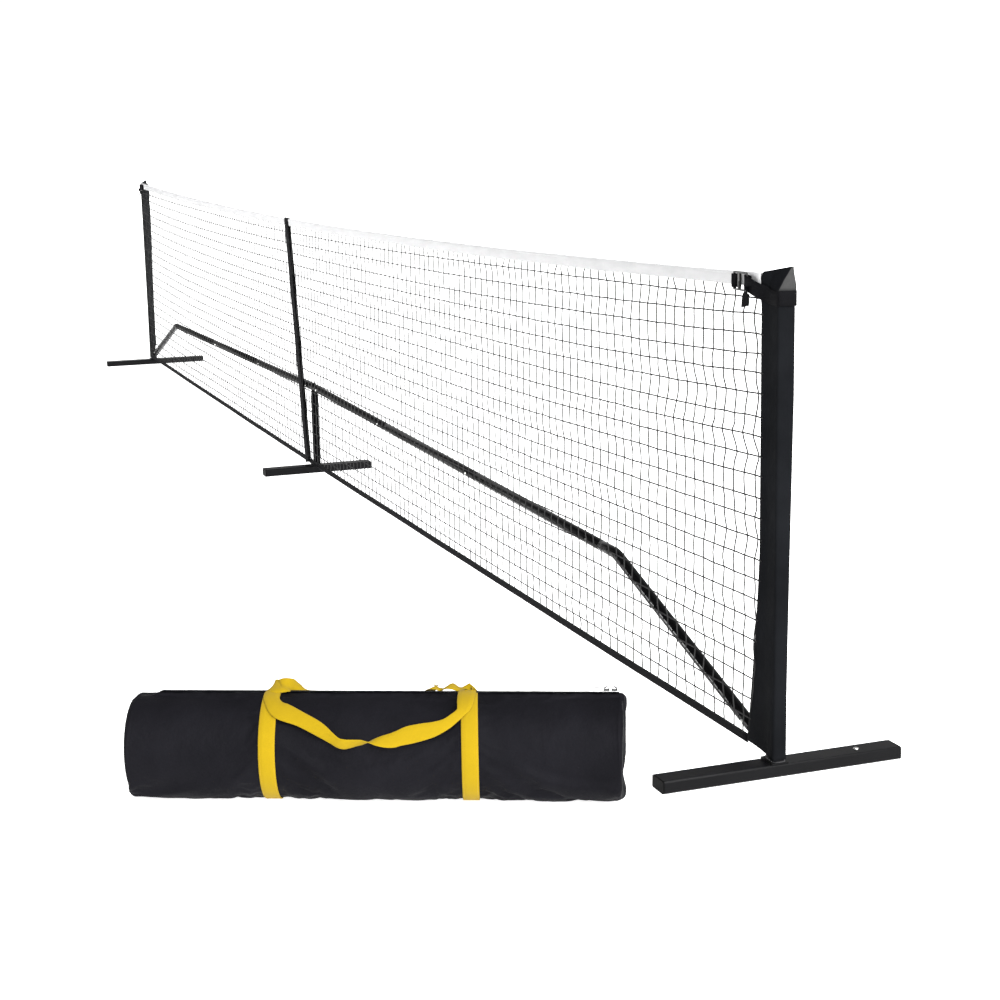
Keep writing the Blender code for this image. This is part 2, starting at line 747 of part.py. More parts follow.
def buckle(side, word):
    """A ladder-lock: a flat frame with two slots, hinged on its inner bar."""
    axis_x = BUCKLE_X - BUCKLE_LENGTH / 2 + 0.0025
    empty = bpy.data.objects.new(f"{word}_buckle_axis", None)
    empty.location = (side * axis_x, BUCKLE_Y, BUCKLE_Z)
    bpy.context.scene.collection.objects.link(empty)
    middle = side * (BUCKLE_X - axis_x)
    outline = rounded_rectangle(BUCKLE_LENGTH, BUCKLE_HEIGHT, 0.004, 3)
    depth = (-BUCKLE_DEPTH / 2, BUCKLE_DEPTH / 2)
    frame = loft(
        f"{word}_buckle",
        [[(middle + px, y, pz) for px, pz in outline] for y in depth],
        BLACK_PLASTIC,
        empty,
    )
    half = STRAP_WIDTH / 2 + 0.0005
    for i, (low, high) in enumerate(BUCKLE_SLOTS):
        corners = (middle + side * low, -0.01, -half), (middle + side * high, 0.01, half)
        rings = box_rings(*corners)
        slot = cutter(f"{word}_buckle_slot_{i}", rings)
        slot.parent = empty
        boolean(frame, slot, "DIFFERENCE")


# ---- Carry bag, built along its own X axis under one empty --------------------------
def bag_empty(name, location=(0, 0, 0), parent=None):
    empty = bpy.data.objects.new(name, None)
    empty.location = location
    empty.parent = parent
    bpy.context.scene.collection.objects.link(empty)
    return empty


BAG_SIDES = 24
BAG_LOW = WEBBING + GAP
BAG_AXIS_Z = BAG_R + BAG_LOW - BAG_SINK


def around_bag(s, angle, radius):
    """A point on the bag: angle is 0 at the top and positive towards its front (-Y)."""
    return (s, -radius * sin(angle), BAG_AXIS_Z + radius * cos(angle))


def bag_body(parent):
    """The filled bag: a soft cylinder with round shoulders and a flat underside."""
    half = BAG_LENGTH / 2
    stations = []
    for i in range(4):
        turn = pi / 2 * i / 3
        s = -half + BAG_SHOULDER * (1 - cos(turn))
        stations.append((s, BAG_R - BAG_SHOULDER * (1 - sin(turn))))
    stations += [(-x, r) for x, r in reversed(stations)]
    rings = []
    for s, radius in stations:
        ring = []
        for i in range(BAG_SIDES):
            x, y, z = around_bag(s, 2 * pi * i / BAG_SIDES, radius)
            ring.append((x, y, max(z, BAG_LOW)))
        rings.append(ring)
    loft("bag_body", rings, BAG_CLOTH, parent)


def bag_band(name, middle, parent):
    """A webbing band, from the front handle's end under the bag to the back one's."""
    first, last = BAND_TOP_FRONT, 2 * pi + BAND_TOP_BACK
    corners = [2 * pi * i / BAG_SIDES for i in range(BAG_SIDES)]
    rings = []
    for angle in [first] + [a for a in corners if first < a < last] + [last]:
        ring = []
        for s, lift in ((-1, 0), (1, 0), (1, 1), (-1, 1)):
            radius = BAG_R + GAP + WEBBING * lift
            x, y, z = around_bag(middle + s * WEBBING_WIDTH / 2, angle, radius)
            ring.append((x, y, max(z, BAG_LOW - GAP - WEBBING * lift)))
        rings.append(ring)
    loft(name, rings, YELLOW_WEBBING, parent)


def bag_handle(name, facing, droop, parent):
    """A webbing handle that hangs on the bag from two ends on its upper flank."""
    top = BAND_TOP_FRONT if facing > 0 else -BAND_TOP_BACK
    radius = BAG_R + HANDLE_LIFT
    pivot = around_bag(0, facing * (top - radians(4)), radius)
    empty = bag_empty(f"{name}_axis", pivot, parent)
    left, right = BAND_S
    rings = []
    for i in range(15):
        t = i / 14
        s = left + (right - left) * t
        sink = 4 * t * (1 - t)
        angle = top + droop * sink ** 0.8
        slope = droop * 4 * (1 - 2 * t) * radius / (right - left)
        tilt = atan2(slope, 1.0)
        ring = []
        for across, lift in ((-1, 0), (1, 0), (1, 1), (-1, 1)):
            half = across * WEBBING_WIDTH / 2
            point = around_bag(
                s - half * sin(tilt),
                facing * (angle + half * cos(tilt) / radius),
                radius + lift * WEBBING,
            )
            ring.append(Vector(point) - Vector(pivot))
        rings.append(ring)
    loft(name, rings, YELLOW_WEBBING, empty)


def bag_zip(parent):
    """The zip along the top, its two sliders and their pulls."""
    base = BAG_R + GAP
    tape, teeth, tape_height = 0.011, 0.0025, 0.001
    section = (
        (-tape, 0),
        (0, 0),
        (tape, 0),
        (tape, tape_height),
        (teeth + tape_height, tape_height),
        (teeth, TEETH_HEIGHT),
        (-teeth, TEETH_HEIGHT),
        (-teeth - tape_height, tape_height),
        (-tape, tape_height),
    )
    rings = [
        [around_bag(s, ZIP_ANGLE + across / BAG_R, base + lift) for across, lift in section]
        for s in ZIP_S
    ]
    loft("bag_zip_track", rings, BLACK_PLASTIC, parent)
    for word, s, facing in (("left", SLIDER_S[0], -1), ("right", SLIDER_S[1], 1)):
        foot_point = around_bag(s, ZIP_ANGLE, base + TEETH_HEIGHT + 2 * GAP)
        zip_slider(word, foot_point, parent)
        zip_pull(word, facing, foot_point, parent)


ZIP_UP = Vector((0, -sin(ZIP_ANGLE), cos(ZIP_ANGLE)))
ZIP_ACROSS = Vector((1, 0, 0)).cross(ZIP_UP)


def zip_slider(word, foot_point, parent):
    """A slider block with an arched bridge on top."""
    empty = bag_empty(f"bag_zip_slider_{word}_axis", foot_point, parent)
    corners = ((-1, -1), (1, -1), (1, 1), (-1, 1))
    rings = []
    for height, half_s, half_w in ((0, 0.0055, 0.0045), (0.002, 0.0055, 0.0045), (0.003, 0.0045, 0.003)):
        along = Vector((half_s, 0, 0))
        rings.append([a * along + b * half_w * ZIP_ACROSS + height * ZIP_UP for a, b in corners])
    body = loft(f"bag_zip_slider_{word}", rings, BLACK_PLASTIC, empty)
    root, span, rise, thick, half_width = 0.0028, 0.0036, 0.0050, 0.0007, 0.001
    arch = []
    for i in range(9):
        turn = pi * i / 8
        centre = Vector((span * cos(turn), 0, 0)) + ZIP_UP * (root + rise * sin(turn))
        out = Vector((cos(turn), 0, 0)) + ZIP_UP * sin(turn)
        section = ((1, 1), (1, -1), (-1, -1), (-1, 1))
        arch.append([centre + a * thick * out + b * half_width * ZIP_ACROSS for a, b in section])
    bridge = cutter(f"bag_zip_bridge_{word}", arch)
    bridge.parent = empty
    boolean(body, bridge, "UNION")


def pull_plate(facing, sections, thick):
    """Rings of a flat plate that runs along the bag: sections list (distance, half width)."""
    corners = ((1, 1), (-1, 1), (-1, -1), (1, -1))
    rings = []
    for s, half in sections:
        along = Vector((facing * s, 0, 0))
        rings.append([along + a * half * ZIP_ACROSS + b * thick * ZIP_UP for a, b in corners])
    return rings


def zip_pull(word, facing, foot_point, parent):
    """A flat pull whose cross bar turns under the slider's bridge."""
    pivot = Vector(foot_point) + ZIP_UP * PULL_RISE
    empty = bag_empty(f"bag_zip_pull_{word}_axis", pivot, parent)
    outline = ((-0.0008, 0.0030), (0.0065, 0.0034), (0.012, 0.0028), (0.0225, 0.0034))
    rings = pull_plate(facing, outline, 0.0006)
    pull = loft(f"bag_zip_pull_{word}", rings, BLACK_PLASTIC, empty)
    rings = pull_plate(facing, ((0.0010, 0.0016), (0.0052, 0.0016)), 0.002)
    slot = cutter(f"bag_zip_slot_{word}", rings)
    slot.parent = empty
    boolean(pull, slot, "DIFFERENCE")


def carry_bag():
    frame = bag_empty("bag_frame", (*BAG_CENTRE, 0.0))
    frame.rotation_euler = (0, 0, BAG_TURN)
    bag_body(frame)
    for word, middle in zip(("left", "right"), BAND_S):
        bag_band(f"bag_{word}_band", middle, frame)
    bag_handle("bag_front_handle", 1, radians(52), frame)
    bag_handle("bag_back_handle", -1, radians(38), frame)
    bag_zip(frame)


def main():
    holes = {name: button_hole(name) for name in PLACES}
    for word, x, y, length in foot_places():
        bar = foot(word, x, y, length)
        if word != "centre":
            foot_rivet(word, x, bar)
    centre_bracket()
    centre_post(holes)
    centre_tee(holes)
    for side, word in ((1, "right"), (-1, "left")):
        end_bracket(side, word, holes)
        end_post(side, word)
        tubes(side, word, holes)
        sleeve(side, word)
        tension_strap(side, word)
        buckle(side, word)
    for name in PLACES:
        snap_button(name)
    headband()
    net_mesh()
    bottom_tape()
    centre_strap()
    carry_bag()


main()
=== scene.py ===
"""Looks of a portable court net set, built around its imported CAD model.

Metres, in the CAD's own frame: +X runs along the net, -Y is the side the carry bag lies on,
+Z is up. Right is +X and left is -X. Places come from the CAD nodes' boxes.
"""

from math import cos, exp, pi, radians, sin

import bpy
import numpy as np
from mathutils import Matrix, Vector, noise


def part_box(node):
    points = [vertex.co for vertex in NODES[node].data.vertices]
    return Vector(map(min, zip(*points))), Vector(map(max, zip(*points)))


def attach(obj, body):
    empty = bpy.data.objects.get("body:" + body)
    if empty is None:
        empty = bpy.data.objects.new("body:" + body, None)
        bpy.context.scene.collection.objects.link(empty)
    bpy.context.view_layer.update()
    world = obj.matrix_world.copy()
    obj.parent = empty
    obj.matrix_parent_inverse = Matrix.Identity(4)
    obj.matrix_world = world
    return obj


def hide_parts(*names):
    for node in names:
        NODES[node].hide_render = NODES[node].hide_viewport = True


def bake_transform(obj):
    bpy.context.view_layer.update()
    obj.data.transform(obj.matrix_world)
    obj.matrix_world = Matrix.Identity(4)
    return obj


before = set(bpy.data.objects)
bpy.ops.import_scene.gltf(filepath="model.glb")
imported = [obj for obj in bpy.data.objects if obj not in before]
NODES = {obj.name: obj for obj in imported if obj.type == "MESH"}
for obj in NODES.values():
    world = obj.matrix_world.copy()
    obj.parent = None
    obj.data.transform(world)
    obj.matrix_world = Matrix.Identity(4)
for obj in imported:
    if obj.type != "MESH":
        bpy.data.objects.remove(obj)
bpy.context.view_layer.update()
SIDES = ((1, "right"), (-1, "left"))

# ---- Driving dimensions -------------------------------------------------------------
BAND_HEIGHT = 0.025
BAND_THICKNESS = 0.005
TAPE_HEIGHT = 0.019
TAPE_THICK = 0.0026
SLEEVE_EDGE_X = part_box("headband")[1].x + 0.001
SLEEVE_FLARE_X = 3.2805
FLARE_TOP_Z = 0.42
HEM_Z = 0.044
EAVES_Z = 0.890
NET_Y = (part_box("net_mesh")[0].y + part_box("net_mesh")[1].y) / 2
CENTRE_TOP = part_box("headband")[0].z + BAND_HEIGHT
END_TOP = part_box("headband")[1].z
TAPE_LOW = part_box("bottom_tape")[0].z
TAPE_END_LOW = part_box("bottom_tape")[1].z - TAPE_HEIGHT

ROW_COUNT = 22
COLUMN_COUNT = 157
ROW_CORD_R = 0.00150
COLUMN_CORD_R = 0.00138

STRAP_WIDTH = 0.027
STRAP_THICK = 0.0016
CENTRE_STRAP_WIDTH = 0.046
WEBBING_WIDTH = 0.030
WEBBING = 0.0018


# ---- Shader node helpers ------------------------------------------------------------
def add(tree, kind, inputs=None, **settings):
    """One shader node: settings are its own properties, inputs its sockets' values or links."""
    node = tree.nodes.new(kind)
    for key, value in settings.items():
        setattr(node, key, value)
    for key, value in (inputs or {}).items():
        if isinstance(value, bpy.types.NodeSocket):
            tree.links.new(value, node.inputs[key])
        else:
            node.inputs[key].default_value = value
    return node


def new_material(name, **sockets):
    """A node material: (material, tree, shader), with the shader's own sockets set."""
    made = bpy.data.materials.new(name)
    made.use_nodes = True
    shader = made.node_tree.nodes["Principled BSDF"]
    for key, value in sockets.items():
        shader.inputs[key.replace("_", " ")].default_value = value
    return made, made.node_tree, shader


def ramp(tree, factor, stops):
    """A colour ramp: stops lists (position, colour), where a colour may be one number."""
    node = add(tree, "ShaderNodeValToRGB", {"Fac": factor})
    elements = node.color_ramp.elements
    while len(elements) < len(stops):
        elements.new(0.5)
    for element, (position, colour) in zip(elements, stops):
        element.position = position
        rgb = (colour,) * 3 if isinstance(colour, (int, float)) else colour
        element.color = (*rgb, 1.0)
    return node.outputs["Color"]


def maths(tree, operation, a, b=0.0, c=0.0):
    inputs = {0: a, 1: b, 2: c}
    return add(tree, "ShaderNodeMath", inputs, operation=operation).outputs[0]


def scaled(tree, vector, factors):
    inputs = {0: vector, 1: factors}
    return add(tree, "ShaderNodeVectorMath", inputs, operation="MULTIPLY").outputs[0]


def noise_value(tree, vector, scale, detail=4.0, roughness=0.55):
    inputs = {"Vector": vector, "Scale": scale, "Detail": detail, "Roughness": roughness}
    return add(tree, "ShaderNodeTexNoise", inputs).outputs["Fac"]


def bump(tree, height, distance, strength=1.0, normal=None):
    inputs = {"Height": height, "Distance": distance, "Strength": strength}
    if normal is not None:
        inputs["Normal"] = normal
    return add(tree, "ShaderNodeBump", inputs).outputs["Normal"]


def object_place(tree):
    return add(tree, "ShaderNodeTexCoord").outputs["Object"]


def ribbon_place(tree):
    """(vector, across, along) of a ribbon in metres, from its UV map."""
    uv = add(tree, "ShaderNodeUVMap", uv_map="UVMap").outputs["UV"]
    split = add(tree, "ShaderNodeSeparateXYZ", {"Vector": uv})
    return uv, split.outputs["X"], split.outputs["Y"]


def weave(tree, across, along, pitch_across, pitch_along):
    """0 to 1: the over and under of a plain weave with these thread pitches."""
    a = maths(tree, "SINE", maths(tree, "MULTIPLY", across, pi / pitch_across))
    b = maths(tree, "SINE", maths(tree, "MULTIPLY", along, pi / pitch_along))
    return maths(tree, "MULTIPLY_ADD", maths(tree, "MULTIPLY", a, b), 0.5, 0.5)


def link(tree, output, shader, name):
    tree.links.new(output, shader.inputs[name])


# ---- Materials ----------------------------------------------------------------------
def painted_steel(name, tone, gloss, shine):
    """Black powder coat: orange-peel bump, faint scuffs and a slightly uneven gloss."""
    made, tree, shader = new_material(name, Specular_IOR_Level=shine)
    place = object_place(tree)
    grain = noise_value(tree, place, 900.0, 3.0)
    patches = noise_value(tree, place, 9.0, 5.0, 0.6)
    scuffs = noise_value(tree, scaled(tree, place, (30.0, 160.0, 160.0)), 1.0, 6.0, 0.7)
    scuff = ramp(tree, scuffs, ((0.66, 0.0), (0.80, 1.0)))
    colour = ramp(tree, patches, ((0.3, tone), (0.7, tuple(c * 1.5 for c in tone))))
    worn = add(tree, "ShaderNodeMix", {0: maths(tree, "MULTIPLY", scuff, 0.35)}, data_type="RGBA")
    tree.links.new(colour, worn.inputs[6])
    worn.inputs[7].default_value = (0.02, 0.02, 0.022, 1.0)
    link(tree, worn.outputs[2], shader, "Base Color")
    rough = ramp(tree, patches, ((0.3, gloss * 0.8), (0.75, gloss * 1.35)))
    link(tree, maths(tree, "MULTIPLY_ADD", scuff, 0.12, rough), shader, "Roughness")
    link(tree, bump(tree, grain, 0.00006, 0.5), shader, "Normal")
    return made


def moulded_plastic(name, tone, gloss, shine):
    """Moulded plastic with a fine spark-eroded grain."""
    made, tree, shader = new_material(name, Specular_IOR_Level=shine)
    place = object_place(tree)
    grain = noise_value(tree, place, 1600.0, 2.0)
    patches = noise_value(tree, place, 25.0, 4.0)
    link(tree, ramp(tree, patches, ((0.3, tone), (0.7, tone * 1.7))), shader, "Base Color")
    link(tree, ramp(tree, grain, ((0.3, gloss), (0.7, gloss + 0.15))), shader, "Roughness")
    link(tree, bump(tree, grain, 0.0001, 0.5), shader, "Normal")
    return made


def zinc_plate():
    """Bright zinc plate with fine turning marks and dull spots."""
    made, tree, shader = new_material("zinc_plate", Metallic=1.0)
    place = object_place(tree)
    spots = noise_value(tree, place, 700.0, 4.0, 0.6)
    marks = noise_value(tree, scaled(tree, place, (400.0, 400.0, 6000.0)), 1.0, 2.0)
    tones = ramp(tree, spots, ((0.3, (0.62, 0.62, 0.60)), (0.7, (0.86, 0.86, 0.84))))
    link(tree, tones, shader, "Base Color")
    link(tree, ramp(tree, spots, ((0.3, 0.22), (0.75, 0.42))), shader, "Roughness")
    link(tree, bump(tree, marks, 0.00004, 0.4), shader, "Normal")
    return made


def coated_cloth(name, tone, shine, sheen, thread=0.0007, crease=0.0016, painted_hood_highlight=False):
    """Tightly woven polyester with a dull coating: fine weave, soft creases, sheen.

    With the hood option on, the hood's faces that point along the net, above the eaves, get a lighter colour:
    a painted highlight for the light those faces catch.
    """
    made, tree, shader = new_material(
        name, Specular_IOR_Level=shine, Sheen_Weight=sheen, Sheen_Roughness=0.45
    )
    shader.inputs["Sheen Tint"].default_value = (0.75, 0.78, 0.9, 1.0)
    place = object_place(tree)
    split = add(tree, "ShaderNodeSeparateXYZ", {"Vector": place})
    around = maths(tree, "ADD", split.outputs["X"], split.outputs["Y"])
    threads = weave(tree, around, split.outputs["Z"], thread, thread)
    creases = noise_value(tree, scaled(tree, place, (22.0, 22.0, 14.0)), 1.0, 7.0, 0.62)
    blotches = noise_value(tree, place, 6.0, 5.0, 0.6)
    light = tuple(c * 1.75 for c in tone)
    colour = ramp(tree, blotches, ((0.32, tone), (0.72, light)))
    # Painted highlight: a lighter colour on the hood faces that point along the net, above the eaves.
    if painted_hood_highlight:
        normal = add(tree, "ShaderNodeNewGeometry").outputs["Normal"]
        facing = add(tree, "ShaderNodeSeparateXYZ", {"Vector": normal})
        outer = ramp(tree, maths(tree, "ABSOLUTE", facing.outputs["X"]), ((0.60, 0.0), (0.80, 1.0)))
        high = ramp(tree, split.outputs["Z"], ((EAVES_Z - 0.004, 0.0), (EAVES_Z + 0.004, 1.0)))
        hood_highlight_mask = maths(tree, "MULTIPLY", outer, high)
        hood_highlighted = add(tree, "ShaderNodeMix", {0: hood_highlight_mask}, data_type="RGBA")
        tree.links.new(colour, hood_highlighted.inputs[6])
        tree.links.new(ramp(tree, creases, ((0.35, 0.022), (0.65, 0.040))), hood_highlighted.inputs[7])
        colour = hood_highlighted.outputs[2]
    link(tree, colour, shader, "Base Color")
    link(tree, ramp(tree, creases, ((0.3, 0.46), (0.75, 0.70))), shader, "Roughness")
    soft = bump(tree, creases, crease, 0.7)
    link(tree, bump(tree, threads, 0.00012, 0.6, soft), shader, "Normal")
    return made


def woven_webbing(name, tone, rib, spread=1.35, sheen=0.15):
    """Webbing: ribs across the width and a plain weave between them."""
    made, tree, shader = new_material(
        name, Specular_IOR_Level=0.03, Sheen_Weight=sheen, Sheen_Roughness=0.5
    )
    place, across, along = ribbon_place(tree)
    waves = maths(tree, "SINE", maths(tree, "MULTIPLY", along, 2 * pi / rib))
    ribs = maths(tree, "MULTIPLY_ADD", waves, 0.5, 0.5)
    threads = weave(tree, across, along, 0.0011, rib)
    fuzz = noise_value(tree, place, 900.0, 4.0, 0.6)
    stains = noise_value(tree, place, 35.0, 5.0, 0.6)
    mix = maths(tree, "MULTIPLY_ADD", fuzz, 0.35, maths(tree, "MULTIPLY", threads, 0.65))
    shaded = maths(tree, "MULTIPLY", mix, maths(tree, "MULTIPLY_ADD", stains, 0.5, 0.75))
    light = tuple(min(c * spread, 1.0) for c in tone)
    dark = tuple(c / spread for c in tone)
    link(tree, ramp(tree, shaded, ((0.15, dark), (0.55, tone), (0.85, light))), shader, "Base Color")
    link(tree, ramp(tree, fuzz, ((0.3, 0.62), (0.7, 0.85))), shader, "Roughness")
    height = maths(tree, "MULTIPLY_ADD", ribs, 0.5, threads)
    link(tree, bump(tree, height, 0.0003, 0.7), shader, "Normal")
    return made


def netting_cord(name, tone):
    """Twisted cord: strands that wind round it, with a fibrous surface."""
    made, tree, shader = new_material(name, Specular_IOR_Level=0.2, Roughness=0.8)
    place = object_place(tree)
    twist = noise_value(tree, scaled(tree, place, (1.0, 1.0, 0.6)), 1400.0, 3.0)
    wear = noise_value(tree, place, 18.0, 4.0)
    shaded = maths(tree, "MULTIPLY_ADD", twist, 0.5, maths(tree, "MULTIPLY", wear, 0.5))
    link(tree, ramp(tree, shaded, ((0.35, tone * 0.6), (0.7, tone * 2.0))), shader, "Base Color")
    link(tree, bump(tree, twist, 0.0002, 0.6), shader, "Normal")
    return made


def white_tape():
    """White folded tape: fine weave, a soft vertical cockle and handling marks."""
    made, tree, shader = new_material("white_tape", Specular_IOR_Level=0.3, Sheen_Weight=0.1)
    place, across, along = ribbon_place(tree)
    threads = weave(tree, across, along, 0.0008, 0.0008)
    cockle = noise_value(tree, scaled(tree, place, (30.0, 60.0, 1.0)), 1.0, 5.0)
    marks = noise_value(tree, scaled(tree, place, (60.0, 9.0, 1.0)), 1.0, 6.0, 0.65)
    tones = ramp(tree, marks, ((0.25, (0.38, 0.38, 0.385)), (0.7, (0.47, 0.47, 0.475))))
    link(tree, tones, shader, "Base Color")
    link(tree, ramp(tree, threads, ((0.2, 0.6), (0.8, 0.75))), shader, "Roughness")
    soft = bump(tree, cockle, 0.002, 0.5)
    link(tree, bump(tree, threads, 0.00015, 0.6, soft), shader, "Normal")
    return made


def thread_material(name, tone):
    made, tree, shader = new_material(name, Roughness=0.6, Specular_IOR_Level=0.3)
    twist = noise_value(tree, object_place(tree), 2500.0, 2.0)
    light = tuple(c * 1.25 for c in tone)
    link(tree, ramp(tree, twist, ((0.3, tone), (0.7, light))), shader, "Base Color")
    link(tree, bump(tree, twist, 0.0001, 0.6), shader, "Normal")
    return made


def floor_material():
    """Matt white sweep of a light table, lit from below, with a barely visible mottle."""
    made, tree, shader = new_material("floor", Specular_IOR_Level=0.1, Emission_Strength=0.78)
    shader.inputs["Emission Color"].default_value = (1.0, 1.0, 1.0, 1.0)
    mottle = noise_value(tree, object_place(tree), 0.8, 3.0)
    link(tree, ramp(tree, mottle, ((0.3, 0.93), (0.7, 0.95))), shader, "Base Color")
    link(tree, ramp(tree, mottle, ((0.3, 0.80), (0.7, 0.90))), shader, "Roughness")
    return made


STEEL = painted_steel("painted_tube", (0.0010, 0.0010, 0.0012), 0.18, 0.014)
BRACE_STEEL = painted_steel("painted_brace", (0.0010, 0.0010, 0.0012), 0.15, 0.060)
FOOT_STEEL = painted_steel("painted_foot", (0.0024, 0.0024, 0.0027), 0.32, 0.060)
PLASTIC = moulded_plastic("black_plastic", 0.0030, 0.30, 0.20)
CAP_PLASTIC = moulded_plastic("black_cap_plastic", 0.0016, 0.45, 0.020)
ZINC = zinc_plate()
WELD = painted_steel("painted_weld", (0.012, 0.012, 0.013), 0.14, 0.30)
# The sleeve cloth carries the painted highlight on its hoods' ends.
SLEEVE_CLOTH = coated_cloth("sleeve_cloth", (0.0040, 0.0043, 0.0050), 0.006, 0.0, painted_hood_highlight=True)
BAG_CLOTH = coated_cloth("bag_cloth", (0.0040, 0.0039, 0.0050), 0.020, 0.0, 0.0009, 0.0060)
BLACK_WEB = woven_webbing("black_webbing", (0.0030, 0.0030, 0.0036), 0.0022, 2.0, 0.0)
YELLOW_WEB = woven_webbing("yellow_webbing", (0.264, 0.177, 0.0048), 0.0024, 1.18, 0.04)
CORD_DARK = netting_cord("row_cord", 0.008)
CORD_LIGHT = netting_cord("column_cord", 0.016)
WHITE_TAPE = white_tape()
WHITE_THREAD = thread_material("white_thread", (0.62, 0.62, 0.62))
BLACK_THREAD = thread_material("black_thread", (0.010, 0.010, 0.012))
YELLOW_THREAD = thread_material("yellow_thread", (0.31, 0.18, 0.006))


# ---- Mesh helpers -------------------------------------------------------------------
def mesh_piece(name, points, faces, look, body, uvs=None):
    """One smooth-shaded mesh piece; uvs holds one (u, v) for each face corner.

    A piece that is blended between two bodies rides on none.
    """
    mesh = bpy.data.meshes.new(name)
    mesh.from_pydata([tuple(p) for p in points], [], [tuple(f) for f in faces])
    if uvs is not None:
        layer = mesh.uv_layers.new(name="UVMap")
        layer.data.foreach_set("uv", np.asarray(uvs, np.float32).ravel())
    mesh.materials.append(look)
    mesh.update()
    mesh.shade_smooth()
    piece = bpy.data.objects.new(name, mesh)
    bpy.context.scene.collection.objects.link(piece)
    if body is not None:
        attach(piece, body)
    return piece


def catmull(points, steps):
    """A smooth curve through points (rows of any width), with steps spans between each two."""
    points = np.asarray(points, float)
    ends = np.vstack([2 * points[0] - points[1], points, 2 * points[-1] - points[-2]])
    curve = []
    for p0, p1, p2, p3 in zip(ends, ends[1:], ends[2:], ends[3:]):
        for i in range(steps):
            t = i / steps
            a, b = 2 * p1, (p2 - p0) * t
            c = (2 * p0 - 5 * p1 + 4 * p2 - p3) * t * t
            d = (3 * p1 - p0 - 3 * p2 + p3) * t ** 3
            curve.append((a + b + c + d) / 2)
    curve.append(points[-1])
    return np.array(curve)


def unit(vectors):
    return vectors / np.maximum(np.linalg.norm(vectors, axis=-1, keepdims=True), 1e-12)


def tube_mesh(lines, radius, sides):
    """(points, faces) of closed round tubes along lines, each an array of points."""
    turns = 2 * pi * np.arange(sides) / sides
    points, faces, start = [], [], 0
    for line in lines:
        run = unit(np.gradient(line, axis=0))
        guide = np.array([0.0, 1.0, 0.0])
        side = unit(np.cross(run, guide))
        other = np.cross(run, side)
        ring = (
            line[:, None]
            + radius * np.cos(turns)[None, :, None] * side[:, None]
            + radius * np.sin(turns)[None, :, None] * other[:, None]
        )
        points.append(ring.reshape(-1, 3))
        count = len(line)
        index = start + np.arange(count * sides).reshape(count, sides)
        after = np.roll(index, -1, axis=1)
        quads = np.stack([index[:-1], after[:-1], after[1:], index[1:]], -1).reshape(-1, 4)
        faces.extend(quads.tolist())
        faces.append(index[0][::-1].tolist())
        faces.append(index[-1].tolist())
        start += count * sides
    return np.vstack(points), faces


def ribbon_section(width, thick):
    """Cross-section of a flat strap with rounded edges: (across, up) points and their U."""
    half, flat = width / 2, width / 2 - thick / 2
    across = [-flat, -flat / 3, flat / 3, flat]
    section = [(a, -thick / 2) for a in across]
    section += [(half, 0.0)]
    section += [(a, thick / 2) for a in reversed(across)]
    section += [(-half, 0.0)]
    return np.array(section)


def ribbon_mesh(centres, acrosses, width, thick):
    """(points, faces, uvs) of a strap along centres, its width along acrosses.

    width is one number, or one for each centre.
    """
    centres, acrosses = np.asarray(centres, float), unit(np.asarray(acrosses, float))
    widths = np.broadcast_to(np.asarray(width, float), (len(centres),))
    run = unit(np.gradient(centres, axis=0))
    acrosses = unit(acrosses - (acrosses * run).sum(1, keepdims=True) * run)
    ups = np.cross(run, acrosses)
    steps = np.linalg.norm(np.diff(centres, axis=0), axis=1)
    along = np.concatenate([[0.0], np.cumsum(steps)])
    section = ribbon_section(1.0, thick / widths.mean())
    count = len(section)
    points = [
        c + a * w * s[0] + u * w * s[1]
        for c, a, u, w in zip(centres, acrosses, ups, widths)
        for s in section
    ]
    faces, uvs = [], []
    for i in range(len(centres) - 1):
        for j in range(count):
            k = (j + 1) % count
            faces.append((i * count + j, i * count + k, (i + 1) * count + k, (i + 1) * count + j))
            uj, uk = section[j][0] * widths[i], section[k][0] * widths[i]
            uvs += [(uj, along[i]), (uk, along[i]), (uk, along[i + 1]), (uj, along[i + 1])]
    last = (len(centres) - 1) * count
    faces.append(tuple(range(count))[::-1])
    faces.append(tuple(range(last, last + count)))
    uvs += [(section[j][0] * widths[0], along[0]) for j in range(count)][::-1]
    uvs += [(section[j][0] * widths[-1], along[-1]) for j in range(count)]
    return np.array(points), faces, uvs


def ribbon(name, centres, acrosses, width, thick, look, body, slot):
    points, faces, uvs = ribbon_mesh(centres, acrosses, width, thick)
    return mesh_piece(name, points, faces, look, body, uvs)


def stitch_lines(name, rows, pitch, radius, look, body):
    """Rows of short thread stitches: each row is (points, outward direction)."""
    lines = []
    for row, outward in rows:
        row = np.asarray(row, float)
        steps = np.linalg.norm(np.diff(row, axis=0), axis=1)
        along = np.concatenate([[0.0], np.cumsum(steps)])
        out = np.asarray(outward, float)
        for start in np.arange(pitch * 0.2, along[-1] - pitch, pitch):
            spots = start + pitch * np.array([0.0, 0.15, 0.55, 0.7])
            line = np.stack([np.interp(spots, along, row[:, k]) for k in range(3)], -1)
            lift = np.array([-0.5, 0.6, 0.6, -0.5])[:, None] * radius
            lines.append(line + lift * out)
    points, faces = tube_mesh(lines, radius, 4)
    return mesh_piece(name, points, faces, look, body)


# ---- Net ----------------------------------------------------------------------------
def band_top(x):
    """Height of the headband's top edge, which sags to the middle."""
    return CENTRE_TOP + (END_TOP - CENTRE_TOP) * (x / (SLEEVE_EDGE_X - 0.001)) ** 2


def tape_low(x):
    return TAPE_LOW + (TAPE_END_LOW - TAPE_LOW) * (x / SLEEVE_EDGE_X) ** 2


def sleeve_edge(z):
    """Distance from the middle of the sleeve's inner edge, which flares at the bottom."""
    fall = np.clip((FLARE_TOP_Z - z) / (FLARE_TOP_Z - HEM_Z), 0.0, None)
    return SLEEVE_EDGE_X - (SLEEVE_EDGE_X - SLEEVE_FLARE_X) * fall ** 1.3


